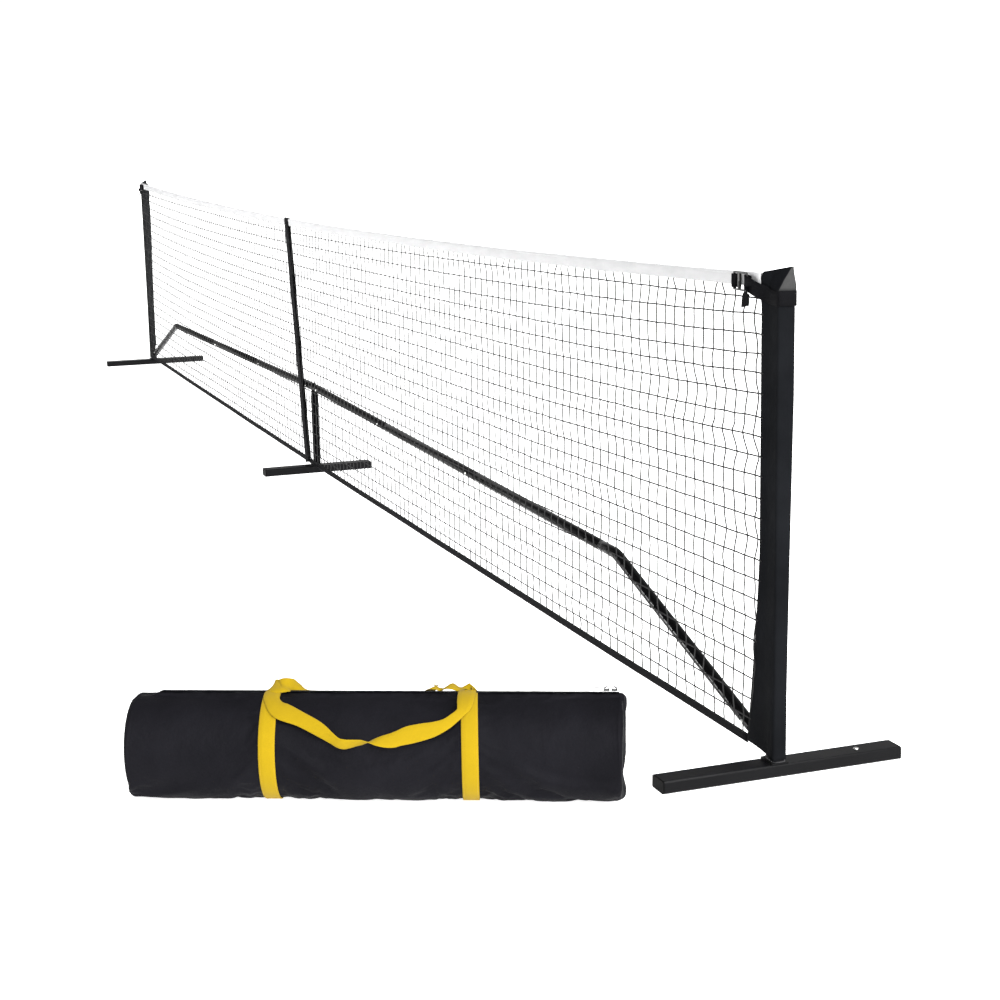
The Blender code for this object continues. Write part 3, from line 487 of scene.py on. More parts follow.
def wander(x, seed, size):
    """A slow, repeatable wave of about +-1 along x: size is the length of one swing."""
    return noise.noise(Vector((x / size, seed * 7.31, 0.5))) * 1.8


NEAR_END_X, NEAR_END_RUN = 2.2, 1.1  # the cords grow uneven from this far out, over this length
NET_SWING, SWING_STEP, SWING_FADE = 0.016, 2.4, 7  # sideways wave: size, radians a row, rows to fade
ROW_LIFT, LIFT_FADE = 0.0102, 2.8  # how far the upper rows are drawn up, and rows to fade


def knot_places():
    """(columns, rows, xyz) of every knot, with the cords' own unevenness."""
    rng = np.random.default_rng(5)
    gap_low, gap_high = 0.023, 0.022
    reach = SLEEVE_EDGE_X + 0.004
    knots = np.zeros((COLUMN_COUNT, ROW_COUNT, 3))
    for c in range(COLUMN_COUNT):
        t = 2 * (c + 0.5) / COLUMN_COUNT - 1
        base = t * reach
        near_end = max(0.0, (abs(base) - NEAR_END_X) / NEAR_END_RUN)
        low = tape_low(base) + TAPE_HEIGHT + gap_low + 0.008 * near_end
        high = band_top(base) - BAND_HEIGHT - gap_high
        for r in range(ROW_COUNT):
            share = r / (ROW_COUNT - 1)
            share += 0.055 * near_end * share * (1 - share)
            shift = 0.0060 * wander(base, r + 1, 0.9) + 0.0035 * wander(base, r + 60, 0.25)
            shift *= 0.65 + 0.6 * near_end + 0.9 * near_end * share ** 2
            below_top = ROW_COUNT - 1 - r
            turn = SWING_STEP * below_top + 0.5 * wander(base, 44, 0.8)
            swing = cos(turn) * exp(-below_top / SWING_FADE)
            x = base + shift + near_end * NET_SWING * swing + rng.normal(0.0, 0.0008)
            z = low + (high - low) * share + 0.0024 * wander(base, r + 30, 1.3)
            z += ROW_LIFT * near_end ** 3 * below_top * exp(-below_top / LIFT_FADE)
            z += rng.normal(0.0, 0.0004)
            edge = sleeve_edge(z) + 0.004
            knots[c, r] = (np.clip(x, -edge, edge), NET_Y, z)
    return knots


def row_lines(knots):
    lines = []
    for r in range(ROW_COUNT):
        row = knots[:, r]
        z_left, z_right = row[0, 2], row[-1, 2]
        left = (-sleeve_edge(z_left) - 0.006, NET_Y, z_left)
        right = (sleeve_edge(z_right) + 0.006, NET_Y, z_right)
        inside = np.abs(row[:, 0]) < sleeve_edge(row[:, 2]) - 0.002
        lines.append(catmull(np.vstack([[left], row[inside], [right]]), 2))
    return lines


def column_lines(knots):
    """Vertical cords, which bow a little between their knots, from band to tape."""
    rng = np.random.default_rng(11)
    lines = []
    for c in range(COLUMN_COUNT):
        column = knots[c]
        x = column[0, 0]
        ends_z = tape_low(x) + TAPE_HEIGHT - 0.002, band_top(x) - BAND_HEIGHT + 0.002
        bottom = column[0] + (rng.normal(0, 0.003), 0, ends_z[0] - column[0, 2])
        hang = (2 * (c + 0.5) / COLUMN_COUNT - 1) * (SLEEVE_EDGE_X + 0.004)
        top = np.array((hang + rng.normal(0, 0.007), NET_Y, ends_z[1]))
        spots = [bottom]
        stations = np.vstack([column, top])
        for r, spot in enumerate(stations):
            before = spots[-1]
            bow = 0.0038 * wander(x, r + 90, 0.35) + rng.normal(0, 0.0012)
            middle = (before + spot) / 2
            spots += [middle + (bow, 0, 0), spot]
        line = catmull(np.array(spots), 3)
        covered = np.abs(line[:, 0]) < sleeve_edge(line[:, 2]) + 0.003
        if covered.sum() > 8:
            first = int(np.argmax(covered))
            lines.append(line[first:])
    return lines


def knot_mesh(knots, size):
    """Small eight-sided lumps where the cords cross."""
    shape = np.array([(1, 0, 0), (0, 1, 0), (-1, 0, 0), (0, -1, 0), (0, 0, 1), (0, 0, -1)], float)
    faces_of = [(0, 1, 4), (1, 2, 4), (2, 3, 4), (3, 0, 4), (1, 0, 5), (2, 1, 5), (3, 2, 5), (0, 3, 5)]
    flat = knots.reshape(-1, 3)
    inside = np.abs(flat[:, 0]) < sleeve_edge(flat[:, 2]) - 0.001
    points = (flat[inside][:, None] + shape[None] * size).reshape(-1, 3)
    index = np.arange(inside.sum())[:, None, None] * 6 + np.array(faces_of)[None]
    return points, index.reshape(-1, 3).tolist()


def netting():
    knots = knot_places()
    points, faces = tube_mesh(row_lines(knots), ROW_CORD_R, 5)
    rows = mesh_piece("net_row_cords", points, faces, CORD_DARK, "frame")
    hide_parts("net_mesh")
    points, faces = tube_mesh(column_lines(knots), COLUMN_CORD_R, 5)
    mesh_piece("net_column_cords", points, faces, CORD_LIGHT, "frame")
    points, faces = knot_mesh(knots, np.array([0.0019, 0.0012, 0.0019]))
    mesh_piece("net_knots", points, faces, CORD_DARK, "frame")


# ---- Headband and bottom tape -------------------------------------------------------
def headband():
    """Folded tape: a soft roll along the top and two plies that meet at the lower edge."""
    end = SLEEVE_EDGE_X - 0.001
    half = BAND_THICKNESS / 2
    profile = (
        (-0.55, 0.000),
        (-0.62, 0.10),
        (-0.85, 0.35),
        (-1.00, 0.70),
        (-0.80, 0.93),
        (0.00, 1.00),
        (0.80, 0.93),
        (1.00, 0.70),
        (0.85, 0.35),
        (0.62, 0.10),
        (0.55, 0.000),
    )
    stations = 420
    count = len(profile)
    points, faces, uvs = [], [], []
    for i in range(stations + 1):
        x = -end + 2 * end * i / stations
        top = band_top(x) + 0.0006 * wander(x, 3, 0.5)
        low = band_top(x) - BAND_HEIGHT + 0.0009 * wander(x, 4, 0.22)
        bulge = 1.0 + 0.22 * wander(x, 5, 0.16)
        sway = 0.0006 * wander(x, 6, 0.4)
        for side, height in profile:
            y = NET_Y + sway + np.clip(side * bulge, -1.15, 1.15) * half
            points.append((x, y, low + (top - low) * height))
    for i in range(stations):
        x0, x1 = points[i * count][0], points[(i + 1) * count][0]
        for j in range(count - 1):
            k = j + 1
            faces.append((i * count + j, i * count + k, (i + 1) * count + k, (i + 1) * count + j))
            uj, uk = j * BAND_HEIGHT / 5, k * BAND_HEIGHT / 5
            uvs += [(uj, x0), (uk, x0), (uk, x1), (uj, x1)]
    band = mesh_piece("net_headband", points, faces, WHITE_TAPE, "frame", uvs)
    cloth = band.modifiers.new("cloth", "SOLIDIFY")
    cloth.thickness = 0.0006
    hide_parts("headband", "headband_webbing")
    rows = []
    for face in (-1, 1):
        for height in (0.0035, BAND_HEIGHT - 0.0045):
            row = []
            for x in np.linspace(-end, end, 260):
                outward = 0.66 if height < 0.01 else 0.92
                z = band_top(x) - BAND_HEIGHT + height
                row.append((x, NET_Y + face * (half * outward + 0.0001), z))
            rows.append((row, (0, face, 0)))
    stitch_lines("headband_stitching", rows, 0.0055, 0.00032, WHITE_THREAD, "frame")


def bottom_tape():
    end = float(sleeve_edge(0.045)) - 0.001
    xs = np.linspace(-end, end, 320)
    middle = [tape_low(x) + TAPE_HEIGHT / 2 + 0.0005 * wander(x, 8, 0.5) for x in xs]
    sway = [0.0007 * wander(x, 9, 0.35) for x in xs]
    centres = np.stack([xs, NET_Y + np.array(sway), middle], -1)
    acrosses = np.tile((0.0, 0.0, 1.0), (len(xs), 1))
    tape = ribbon(
        "net_bottom_tape", centres, acrosses, TAPE_HEIGHT, TAPE_THICK, BLACK_WEB, "frame", "black_webbing"
    )
    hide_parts("bottom_tape")
    rows = []
    for face in (-1, 1):
        for offset in (-0.007, 0.007):
            row = centres + (0, face * 0.0014, offset)
            rows.append((row, (0, face, 0)))
    stitch_lines("bottom_tape_stitching", rows, 0.006, 0.0003, BLACK_THREAD, "frame")


# ---- Centre strap -------------------------------------------------------------------
def centre_strap():
    """A webbing loop over the headband and down both faces of the net to the foot."""
    low_corner, high_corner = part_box("centre_strap")
    half = CENTRE_STRAP_WIDTH / 2
    top_x, low_x = low_corner.x + half, high_corner.x - half
    front, back = low_corner.y + STRAP_THICK / 2, high_corner.y - STRAP_THICK / 2
    low, high = low_corner.z, high_corner.z - STRAP_THICK / 2
    route = []
    for share in np.linspace(0.0, 0.97, 26):
        route.append((low_x + (top_x - low_x) * share, front, low + (high - low) * share))
    route += [(top_x, front, high - 0.004), (top_x, NET_Y - 0.002, high), (top_x, NET_Y + 0.002, high)]
    route.append((top_x, back, high - 0.004))
    for share in np.linspace(0.97, 0.0, 26):
        route.append((low_x + (top_x - low_x) * share, back, low + (high - low) * share))
    route = catmull(route, 2)
    acrosses = np.tile((1.0, 0.0, 0.0), (len(route), 1))
    size = CENTRE_STRAP_WIDTH, STRAP_THICK
    strap = ribbon("net_centre_strap", route, acrosses, *size, BLACK_WEB, "frame", "black_webbing")
    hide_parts("centre_strap")
    rows = []
    lean = unit(np.array([low_x - top_x, 0.0, low - high]))
    side = np.array([-lean[2], 0.0, lean[0]])
    for face, y in ((-1, low_corner.y), (1, high_corner.y)):
        for offset in (-half + 0.003, half - 0.003):
            start = np.array([top_x, y + face * 0.0002, high - 0.006]) + side * offset
            end = start + lean * (high - low - 0.012) / -lean[2]
            rows.append((np.linspace(start, end, 60), (0, face, 0)))
        box = [(-0.018, 0.030), (0.018, 0.030), (0.018, 0.060), (-0.018, 0.060), (-0.018, 0.030)]
        box += [(0.018, 0.060), (0.018, 0.030), (-0.018, 0.060)]
        middle = np.array([top_x, y + face * 0.0002, high])
        rows.append(([middle + side * a + lean * b for a, b in box], (0, face, 0)))
    stitch_lines("centre_strap_stitching", rows, 0.004, 0.0003, BLACK_THREAD, "frame")


# ---- Sleeves ------------------------------------------------------------------------
POST_LOW, POST_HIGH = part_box("right_post")
POST_X = (POST_LOW.x + POST_HIGH.x) / 2
POST_HALF_WIDTH = (POST_HIGH.x - POST_LOW.x) / 2
POST_HALF_DEPTH = (POST_HIGH.y - POST_LOW.y) / 2
CLOTH_OUT = 0.0021
CORNER = 0.0045
SLEEVE_OPEN_Z = 0.098
PLATE_RISE = 0.0033
FLAP_LOW_Z = 0.0305
RIDGE_IN_Z, RIDGE_OUT_Z = 0.921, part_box("right_sleeve")[1].z
RIDGE_IN_Y, RIDGE_OUT_Y = -0.012, 0.0145
STRAP_Z = 0.876


def pocket_outline(edge):
    """(x, y, part) round the sleeve: front face, outer side, back, then in to the seam."""
    half_d = POST_HALF_DEPTH + CLOTH_OUT
    left, right = POST_X - POST_HALF_WIDTH - CLOTH_OUT, POST_X + POST_HALF_WIDTH + CLOTH_OUT
    seam_front, seam_back = NET_Y - 0.0010, NET_Y + 0.0030
    outline = []
    for share in np.linspace(0.0, 1.0, 17):
        x = edge + (right - CORNER - edge) * share
        settle = min(1.0, share * 2.6)
        y = seam_front + (-half_d - seam_front) * settle ** 0.8
        outline.append((x, y, share))
    for turn in (30, 60):
        a = radians(turn)
        outline.append((right - CORNER + CORNER * sin(a), -half_d + CORNER - CORNER * cos(a), 1.0))
    for share in np.linspace(0.0, 1.0, 7):
        outline.append((right, (-half_d + CORNER) * (1 - 2 * share), 1.0 + share))
    for turn in (30, 60):
        a = radians(turn)
        outline.append((right - CORNER + CORNER * cos(a), half_d - CORNER + CORNER * sin(a), 2.0))
    for share in np.linspace(0.0, 1.0, 9):
        outline.append((right - CORNER + (left - right + CORNER) * share, half_d, 2.0 + share))
    for share in (0.25, 0.5, 0.75, 1.0):
        outline.append((left + (edge - left) * share, half_d + (seam_back - half_d) * share, 3.0 + share))
    return outline


def loose_cloth(z):
    """How far the cloth hangs away behind the post: the sleeve is roomier towards its top."""
    return 0.0080 * min(max((z - 0.15) / 0.55, 0.0), 1.0) ** 1.2


def sleeve_low(part):
    """Height of the cloth's lower edge: a long flap in front, and open above the brace behind."""
    if part <= 1.0:
        return FLAP_LOW_Z + (HEM_Z - FLAP_LOW_Z) * (1 - part)
    rise = min(max((part - 2.25) / 0.3, 0.0), 1.0)
    return FLAP_LOW_Z + 0.002 + (SLEEVE_OPEN_Z - FLAP_LOW_Z - 0.002) * rise


def sleeve(side, word):
    low_part, high_part = np.linspace(0.0, 0.12, 14)[:-1], np.linspace(0.93, 1.0, 10)
    heights = np.concatenate([low_part, np.linspace(0.12, 0.93, 40)[:-1], high_part])
    hood = (0.2, 0.45, 0.7, 0.88, 0.97)
    points, faces = [], []
    around = len(pocket_outline(SLEEVE_EDGE_X))
    for level in heights:
        for x, y, part in pocket_outline(SLEEVE_EDGE_X):
            low = sleeve_low(part)
            z = low + (EAVES_Z - low) * level
            edge = float(sleeve_edge(z))
            if x < POST_X and (part <= 1.0 or part > 3.0):
                x = edge + (x - SLEEVE_EDGE_X) * (POST_X - edge) / (POST_X - SLEEVE_EDGE_X)
            seed = side * 40.0
            drape = noise.noise(Vector((x * 34, part * 2.2 + seed, z * 3.2)))
            crease = abs(noise.noise(Vector((x * 60 + z * 22, part * 3 + seed, z * 16 - x * 20))))
            loose = 0.35 + 0.65 * exp(-((z - 0.04) / 0.16) ** 2) + 0.9 * exp(-((z - 0.89) / 0.05) ** 2)
            push = max(0.0, 0.0005 + 0.0013 * drape + 0.0012 * (0.35 - crease)) * loose
            push *= 1 - exp(-(((z - STRAP_Z) / 0.013) ** 4))
            cover = 0.0020 * min(max((z - 0.862) / 0.012, 0.0), 1.0) * max(0.0, 1 - part / 0.3)
            edge_free = min(1.0, part * 3.0) if part <= 1.0 else min(1.0, (4.0 - part) * 2.0)
            back = min(max(part - 1.0, 0.0), 1.0) * min(1.0, max(4.0 - part, 0.0))
            y += back * (loose_cloth(z) + 0.0025 * exp(-(((z - 0.894) / 0.016) ** 2)))
            if part <= 1.0:
                y -= push * edge_free + cover
            elif part <= 2.0:
                x += push * 0.5
            else:
                y += push * edge_free
            points.append((side * x, y, z))
    base = points[-around:]
    for share in hood:
        for (x, y, _), (_, _, part) in zip(base, pocket_outline(SLEEVE_EDGE_X)):
            along = (abs(x) - SLEEVE_EDGE_X) / (POST_X + POST_HALF_WIDTH - SLEEVE_EDGE_X)
            ridge = RIDGE_IN_Z + (RIDGE_OUT_Z - 0.0006 - RIDGE_IN_Z) * min(along, 1.0)
            dent = 0.0011 * noise.noise(Vector((abs(x) * 50, y * 60 + side, share * 2.5)))
            tip = share ** (1.15 + 5.0 * max(0.0, 1 - along / 0.35))
            ridge_y = RIDGE_IN_Y + (RIDGE_OUT_Y - RIDGE_IN_Y) * min(max(along, 0.0), 1.0)
            height = EAVES_Z + (ridge - EAVES_Z) * share
            points.append((x, y + (ridge_y + 0.07 * y - y) * tip + dent * (1 - share) * 3, height))
    rings = len(points) // around
    for i in range(rings - 1):
        for j in range(around - 1):
            corners = (i * around + j, i * around + j + 1, (i + 1) * around + j + 1, (i + 1) * around + j)
            faces.append(corners if side > 0 else corners[::-1])
    last = (rings - 1) * around
    pairs = around // 2
    for j in range(pairs - 1):
        corners = (last + j, last + j + 1, last + around - 2 - j, last + around - 1 - j)
        faces.append(corners if side > 0 else corners[::-1])
    cloth = mesh_piece(f"{word}_net_sleeve", points, faces, SLEEVE_CLOTH, "frame")
    skin = cloth.modifiers.new("cloth", "SOLIDIFY")
    skin.thickness = 0.0011
    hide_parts(f"{word}_sleeve")
    rows = []
    for face, offset in ((-1, -0.0011), (1, 0.0031)):
        row = []
        for z in np.linspace(0.06, 0.885, 160):
            row.append((side * (float(sleeve_edge(z)) + 0.0035), NET_Y + offset + face * 0.0009, z))
        rows.append((row, (0, face, 0)))
    stitch_lines(f"{word}_sleeve_stitching", rows, 0.005, 0.0003, BLACK_THREAD, "frame")


# ---- Tension straps, their tails and the buckles' loops -----------------------------
def tension_strap(side, word):
    """Webbing through the buckle, round the post and back to the sleeve, with a loose tail."""
    box_low, box_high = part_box(f"{word}_buckle")
    middle = abs(box_low.x + box_high.x) / 2
    y = (box_low.y + box_high.y) / 2
    z = (box_low.z + box_high.z) / 2
    out = POST_X + POST_HALF_WIDTH + 0.0036
    across = POST_HALF_DEPTH + 0.0038
    back = across + loose_cloth(STRAP_Z)
    route = [
        (middle + 0.0330, y + 0.0034, z - 0.0020),
        (middle + 0.0243, y + 0.0033, z - 0.0006),
        (middle + 0.0196, y + 0.0018, z),
        (middle + 0.0184, y - 0.0002, z),
        (middle + 0.0198, y - 0.0022, z),
        (middle + 0.0243, y - 0.0034, z - 0.0008),
        (middle + 0.0330, y - 0.0030, z - 0.0028),
        (middle + 0.0480, y - 0.0010, z - 0.0072),
        (SLEEVE_EDGE_X + 0.001, NET_Y - 0.0062, z - 0.0125),
        (SLEEVE_EDGE_X + 0.012, -across - 0.0026, z - 0.0175),
        (POST_X - 0.004, -across - 0.0002, STRAP_Z + 0.0016),
        (out - 0.0060, -across, STRAP_Z),
        (out - 0.0018, -across + 0.0018, STRAP_Z),
        (out, -across + 0.0060, STRAP_Z),
        (out, back - 0.0060, STRAP_Z),
        (out - 0.0018, back - 0.0018, STRAP_Z),
        (out - 0.0060, back, STRAP_Z),
        (POST_X - 0.012, back, STRAP_Z + 0.0005),
    ]
    route = catmull(route, 6) * (side, 1, 1)
    ups = np.tile((0.0, 0.0, 1.0), (len(route), 1))
    sway = np.array([0.0006 * wander(abs(p[0]) * 3 + p[1] * 9, 21, 0.12) for p in route])
    route[:, 2] += sway
    size = STRAP_WIDTH, STRAP_THICK
    strap = ribbon(f"{word}_webbing_strap", route, ups, *size, BLACK_WEB, None, "black_webbing")
    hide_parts(f"{word}_tension_strap")
    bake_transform(strap)
    tail = [
        (middle + 0.0330, y + 0.0034, z - 0.0020),
        (middle + 0.0345, y + 0.0030, z - 0.0070),
        (middle + 0.0300, y + 0.0012, z - 0.0130),
        (middle + 0.0262, y - 0.0014, z - 0.0190),
        (middle + 0.0272, y - 0.0036, z - 0.0270),
        (middle + 0.0305, y - 0.0062, z - 0.0425),
    ]
    widths = [(0, 0, 1), (0.45, 0, 0.9), (0.78, 0.06, 0.62), (0.88, 0.10, 0.50)]
    widths += [(0.89, 0.12, 0.45)] * 2
    tail = catmull(tail, 5) * (side, 1, 1)
    widths = catmull(widths, 5) * (side, 1, 1)
    size = STRAP_WIDTH * 0.96, STRAP_THICK
    ribbon(f"{word}_strap_tail", tail, widths, *size, BLACK_WEB, f"{word}_buckle", "black_webbing")
    pin_x, radius = middle - 0.02475, 0.0046
    loop = [(pin_x + 0.016, NET_Y - 0.0036, z)]
    for turn in range(60, 361, 20):
        a = radians(turn)
        loop.append((pin_x + radius * cos(a), y + radius * sin(a), z))
    loop.append((pin_x + 0.0060, y + 0.0036, z))
    loop.append((pin_x + 0.016, NET_Y - 0.0055, z))
    loop = catmull(loop, 2) * (side, 1, 1)
    ups = np.tile((0.0, 0.0, 1.0), (len(loop), 1))
    ribbon(f"{word}_buckle_loop", loop, ups, STRAP_WIDTH * 0.9, 0.0013, BLACK_WEB, "frame", "black_webbing")


def weld_beads():
    """Rippled fillet welds that join each post's collar to its bracket plate."""
    for word in ("right", "left", "centre"):
        plate_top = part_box(f"{word}_foot_bar")[1].z + PLATE_RISE
        x = 0.0 if word == "centre" else (1 if word == "right" else -1) * POST_X
        half_x, half_y = (0.0105, 0.0105) if word == "centre" else (POST_HALF_WIDTH, POST_HALF_DEPTH)
        corner = 0.0105 if word == "centre" else 0.006
        line, ripples = [], 220
        for i in range(ripples):
            a = 2 * pi * i / ripples
            px = (half_x - corner) * np.clip(3 * cos(a), -1, 1) + corner * cos(a)
            py = (half_y - corner) * np.clip(3 * sin(a), -1, 1) + corner * sin(a)
            line.append((x + px, py, plate_top))
        line.append(line[0])
        points, faces = tube_mesh([np.array(line)], 1.0, 10)
        rings = np.array(points).reshape(len(line), 10, 3)
        centres = np.array(line)[:, None]
        sizes = [0.0021 + 0.0004 * sin(i * 0.9) + 0.0004 * wander(i * 0.03, 70, 1.0) for i in range(ripples)]
        sizes = np.array(sizes + [sizes[0]])[:, None, None]
        points = centres + (rings - centres) * sizes
        mesh_piece(f"{word}_foot_weld", points.reshape(-1, 3), faces, WELD, "frame")


# ---- Carry bag ----------------------------------------------------------------------
BAG_LOW, BAG_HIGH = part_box("bag_body")
BAG_MIDDLE = ((BAG_LOW.x + BAG_HIGH.x) / 2, (BAG_LOW.y + BAG_HIGH.y) / 2)
BAG_TURN = radians(65.69)
BAG_LENGTH = 0.884
BAG_R = 0.095
BAG_FLOOR = BAG_LOW.z
BAG_AXIS_Z = BAG_HIGH.z - BAG_R
BAG_SHOULDER = 0.010
BAND_S = (-0.1906, 0.1635)
BAND_LEAN = (0.0029, 0.0080)
ZIP_ANGLE = radians(-13)
ZIP_S = (-0.401, 0.430)
CROWN_ANGLE = radians(-31)
CROWN_SPREAD = radians(11)
CROWN_LIFT = 0.0060
END_FILL = 0.011
END_FILL_RUN = 0.060


def bag_place(points):
    """Bag coordinates (along, across, up) to the frame's."""
    points = np.asarray(points, float)
    c, s = cos(BAG_TURN), sin(BAG_TURN)
    x = BAG_MIDDLE[0] + points[..., 0] * c - points[..., 1] * s
    y = BAG_MIDDLE[1] + points[..., 0] * s + points[..., 1] * c
    return np.stack([x, y, points[..., 2]], -1)


def round_bag(s, angle, lift):
    """A bag point at lift above its skin: angle is 0 at the top, positive to the front."""
    radius = BAG_R + lift
    return s, -radius * sin(angle), BAG_AXIS_Z + radius * cos(angle)


def bag_skin():
    """The filled bag's cloth, wrinkled by a short cloth simulation."""
    half = BAG_LENGTH / 2
    end = [(half - 0.0005, r) for r in (0.078, 0.070, 0.060, 0.049, 0.037, 0.025, 0.014, 0.004)]
    shoulder = []
    for turn in (15, 30, 45, 60, 75, 90):
        a = radians(turn)
        shoulder.append((half - BAG_SHOULDER * (1 - cos(a)), BAG_R - BAG_SHOULDER * (1 - sin(a))))
    right = [(s, r) for s, r in shoulder[::-1]] + end
    left = [(-s, r) for s, r in right[::-1]]
    inner = half - BAG_SHOULDER - 0.006
    profile = left + [(s, BAG_R) for s in np.linspace(-inner, inner, 118)] + right
    sides = 128
    rest = []
    for s, radius in profile:
        for i in range(sides):
            _, y, z = round_bag(s, 2 * pi * i / sides, radius - BAG_R)
            rest.append((s, y, max(z, BAG_FLOOR)))
    rest = np.array(rest)
    rings = len(profile)
    faces, uvs = [], []
    pitch = 2 * pi * BAG_R / sides
    for i in range(rings - 1):
        s0, s1 = profile[i][0] - profile[i][1], profile[i + 1][0] - profile[i + 1][1]
        for j in range(sides):
            k = (j + 1) % sides
            faces.append((i * sides + j, (i + 1) * sides + j, (i + 1) * sides + k, i * sides + k))
            uvs += [(j * pitch, s0), (j * pitch, s1), (j * pitch + pitch, s1), (j * pitch + pitch, s0)]
    faces.append(tuple(range(sides)))
    faces.append(tuple(range((rings - 1) * sides, rings * sides))[::-1])
    uvs += [(0.0, 0.0)] * (2 * sides)
    skin = mesh_piece("bag_skin", bag_place(rest), faces, BAG_CLOTH, "bag", uvs)
    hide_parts("bag_body")
    moved = rest + bag_noise(rest)
    moved = bag_simulated(skin, rest, moved)
    moved = bag_limits(rest, moved)
    skin.data.vertices.foreach_set("co", bag_place(moved).astype(np.float32).ravel())
    skin.data.update()
    smooth = skin.modifiers.new("smooth", "SUBSURF")
    smooth.levels = smooth.render_levels = 1
    return skin


def bag_angles(rest):
    return np.arctan2(-rest[:, 1], rest[:, 2] - BAG_AXIS_Z)


def outward(rest):
    out = np.stack([np.zeros(len(rest)), rest[:, 1], rest[:, 2] - BAG_AXIS_Z], -1)
    half = BAG_LENGTH / 2
    past = np.clip((np.abs(rest[:, 0]) - (half - BAG_SHOULDER)) / BAG_SHOULDER, 0, 1)
    out = unit(out) * np.sqrt(1 - past ** 2)[:, None]
    out[:, 0] = np.sign(rest[:, 0]) * past
    return unit(out)


def bag_noise(rest):
    """Folds that the contents and the packing leave: long ones from the bands and ends."""
    folds = np.zeros(len(rest))
    angles = bag_angles(rest)
    for i, (s, angle) in enumerate(zip(rest[:, 0], angles)):
        a, b = cos(angle), sin(angle)
        slow = noise.noise(Vector((s * 7, a * 1.3, b * 1.3 + 3.1)))
        slant = noise.noise(Vector((s * 26 + b * 2.1, a * 2.4, b * 2.4)))
        crease = 1 - abs(noise.noise(Vector((s * 38 - a * 3.0, a * 3.4 + 9.0, b * 3.4)))) * 3.2
        fine = 1 - abs(noise.noise(Vector((s * 75 + a * 6.0, a * 7.0 + 4.0, b * 7.0)))) * 3.0
        folds[i] = 0.0022 * slow + 0.0018 * slant + 0.0020 * max(crease, 0.0) + 0.0010 * max(fine, 0.0)
    return outward(rest) * (folds - 0.0020)[:, None]


def bag_hold(rest):
    """0 where the cloth is free, up to 1 where webbing or the zip holds it."""
    angles = bag_angles(rest)
    hold = np.zeros(len(rest))
    for middle, lean in zip(BAND_S, BAND_LEAN):
        gap = np.abs(rest[:, 0] - middle - lean * np.sin(angles))
        hold = np.maximum(hold, np.clip(1.6 - gap / 0.014, 0, 1))
    zip_gap = np.abs(angles - ZIP_ANGLE) * BAG_R
    along = (rest[:, 0] > ZIP_S[0] - 0.01) & (rest[:, 0] < ZIP_S[1] + 0.01)
    hold = np.maximum(hold, np.clip(1.8 - zip_gap / 0.010, 0, 1) * along)
    return hold


def bag_simulated(skin, rest, start):
    """Cloth cut a little too big for what fills it buckles into folds."""
    skin.data.vertices.foreach_set("co", bag_place(start).astype(np.float32).ravel())
    skin.data.update()
    group = skin.vertex_groups.new(name="held")
    hold = bag_hold(rest)
    flat = rest[:, 2] < BAG_FLOOR + 0.0005
    for i in np.nonzero((hold > 0.02) | flat)[0]:
        group.add([int(i)], float(1.0 if flat[i] else hold[i]), "REPLACE")
    cloth = skin.modifiers.new("cloth", "CLOTH")
    settings = cloth.settings
    settings.quality = 6
    settings.mass = 0.15
    settings.tension_stiffness = settings.compression_stiffness = 22
    settings.shear_stiffness = 6
    settings.bending_stiffness = 0.12
    settings.shrink_min = -0.045
    settings.use_pressure = True
    settings.uniform_pressure_force = 1.6
    settings.vertex_group_mass = "held"
    settings.pin_stiffness = 4
    settings.effector_weights.gravity = 0.15
    cloth.collision_settings.use_collision = False
    cloth.point_cache.frame_start, cloth.point_cache.frame_end = 1, 26
    scene = bpy.context.scene
    for number in range(1, 27):
        scene.frame_set(number)
    solved = skin.evaluated_get(bpy.context.evaluated_depsgraph_get()).to_mesh()
    places = np.empty(len(solved.vertices) * 3, np.float32)
    solved.vertices.foreach_get("co", places)
    skin.modifiers.remove(cloth)
    skin.vertex_groups.clear()
    scene.frame_set(1)
    delta = places.reshape(-1, 3).astype(float) - bag_place(start)
    c, s = cos(BAG_TURN), sin(BAG_TURN)
    local = np.stack([delta[:, 0] * c + delta[:, 1] * s, -delta[:, 0] * s + delta[:, 1] * c, delta[:, 2]], -1)
    return start + local


def bag_limits(rest, moved):
    """Keeps folds small, clear of the webbing and above the floor.

    The cloth stands fuller behind the zip, and at the end that points away from the net.
    """
    out = outward(rest)
    delta = moved - rest
    height = (delta * out).sum(1)
    slide = delta - out * height[:, None]
    hold = bag_hold(rest)
    top, bottom = 0.0042 * (1 - hold), 0.0068 * (1 - 0.85 * hold)
    raised = top * np.tanh(height / np.maximum(top, 1e-6))
    height = np.where(height > 0, raised, -bottom * np.tanh(-height / bottom))
    size = np.linalg.norm(slide, axis=1)
    slide *= (0.005 * np.tanh(size / 0.005) / np.maximum(size, 1e-9))[:, None] * (1 - hold)[:, None]
    crown = np.exp(-(((bag_angles(rest) - CROWN_ANGLE) / CROWN_SPREAD) ** 2)) * (1 - hold)
    height = np.minimum(height + CROWN_LIFT * crown, np.maximum(height, 0.0030))
    placed = rest + out * height[:, None] + slide
    past = np.clip((-rest[:, 0] - BAG_LENGTH / 2 + END_FILL_RUN) / END_FILL_RUN, 0, 1)
    placed[:, 0] -= END_FILL * past ** 1.5
    placed[:, 2] = np.maximum(placed[:, 2], BAG_FLOOR - 0.0012)
    return placed


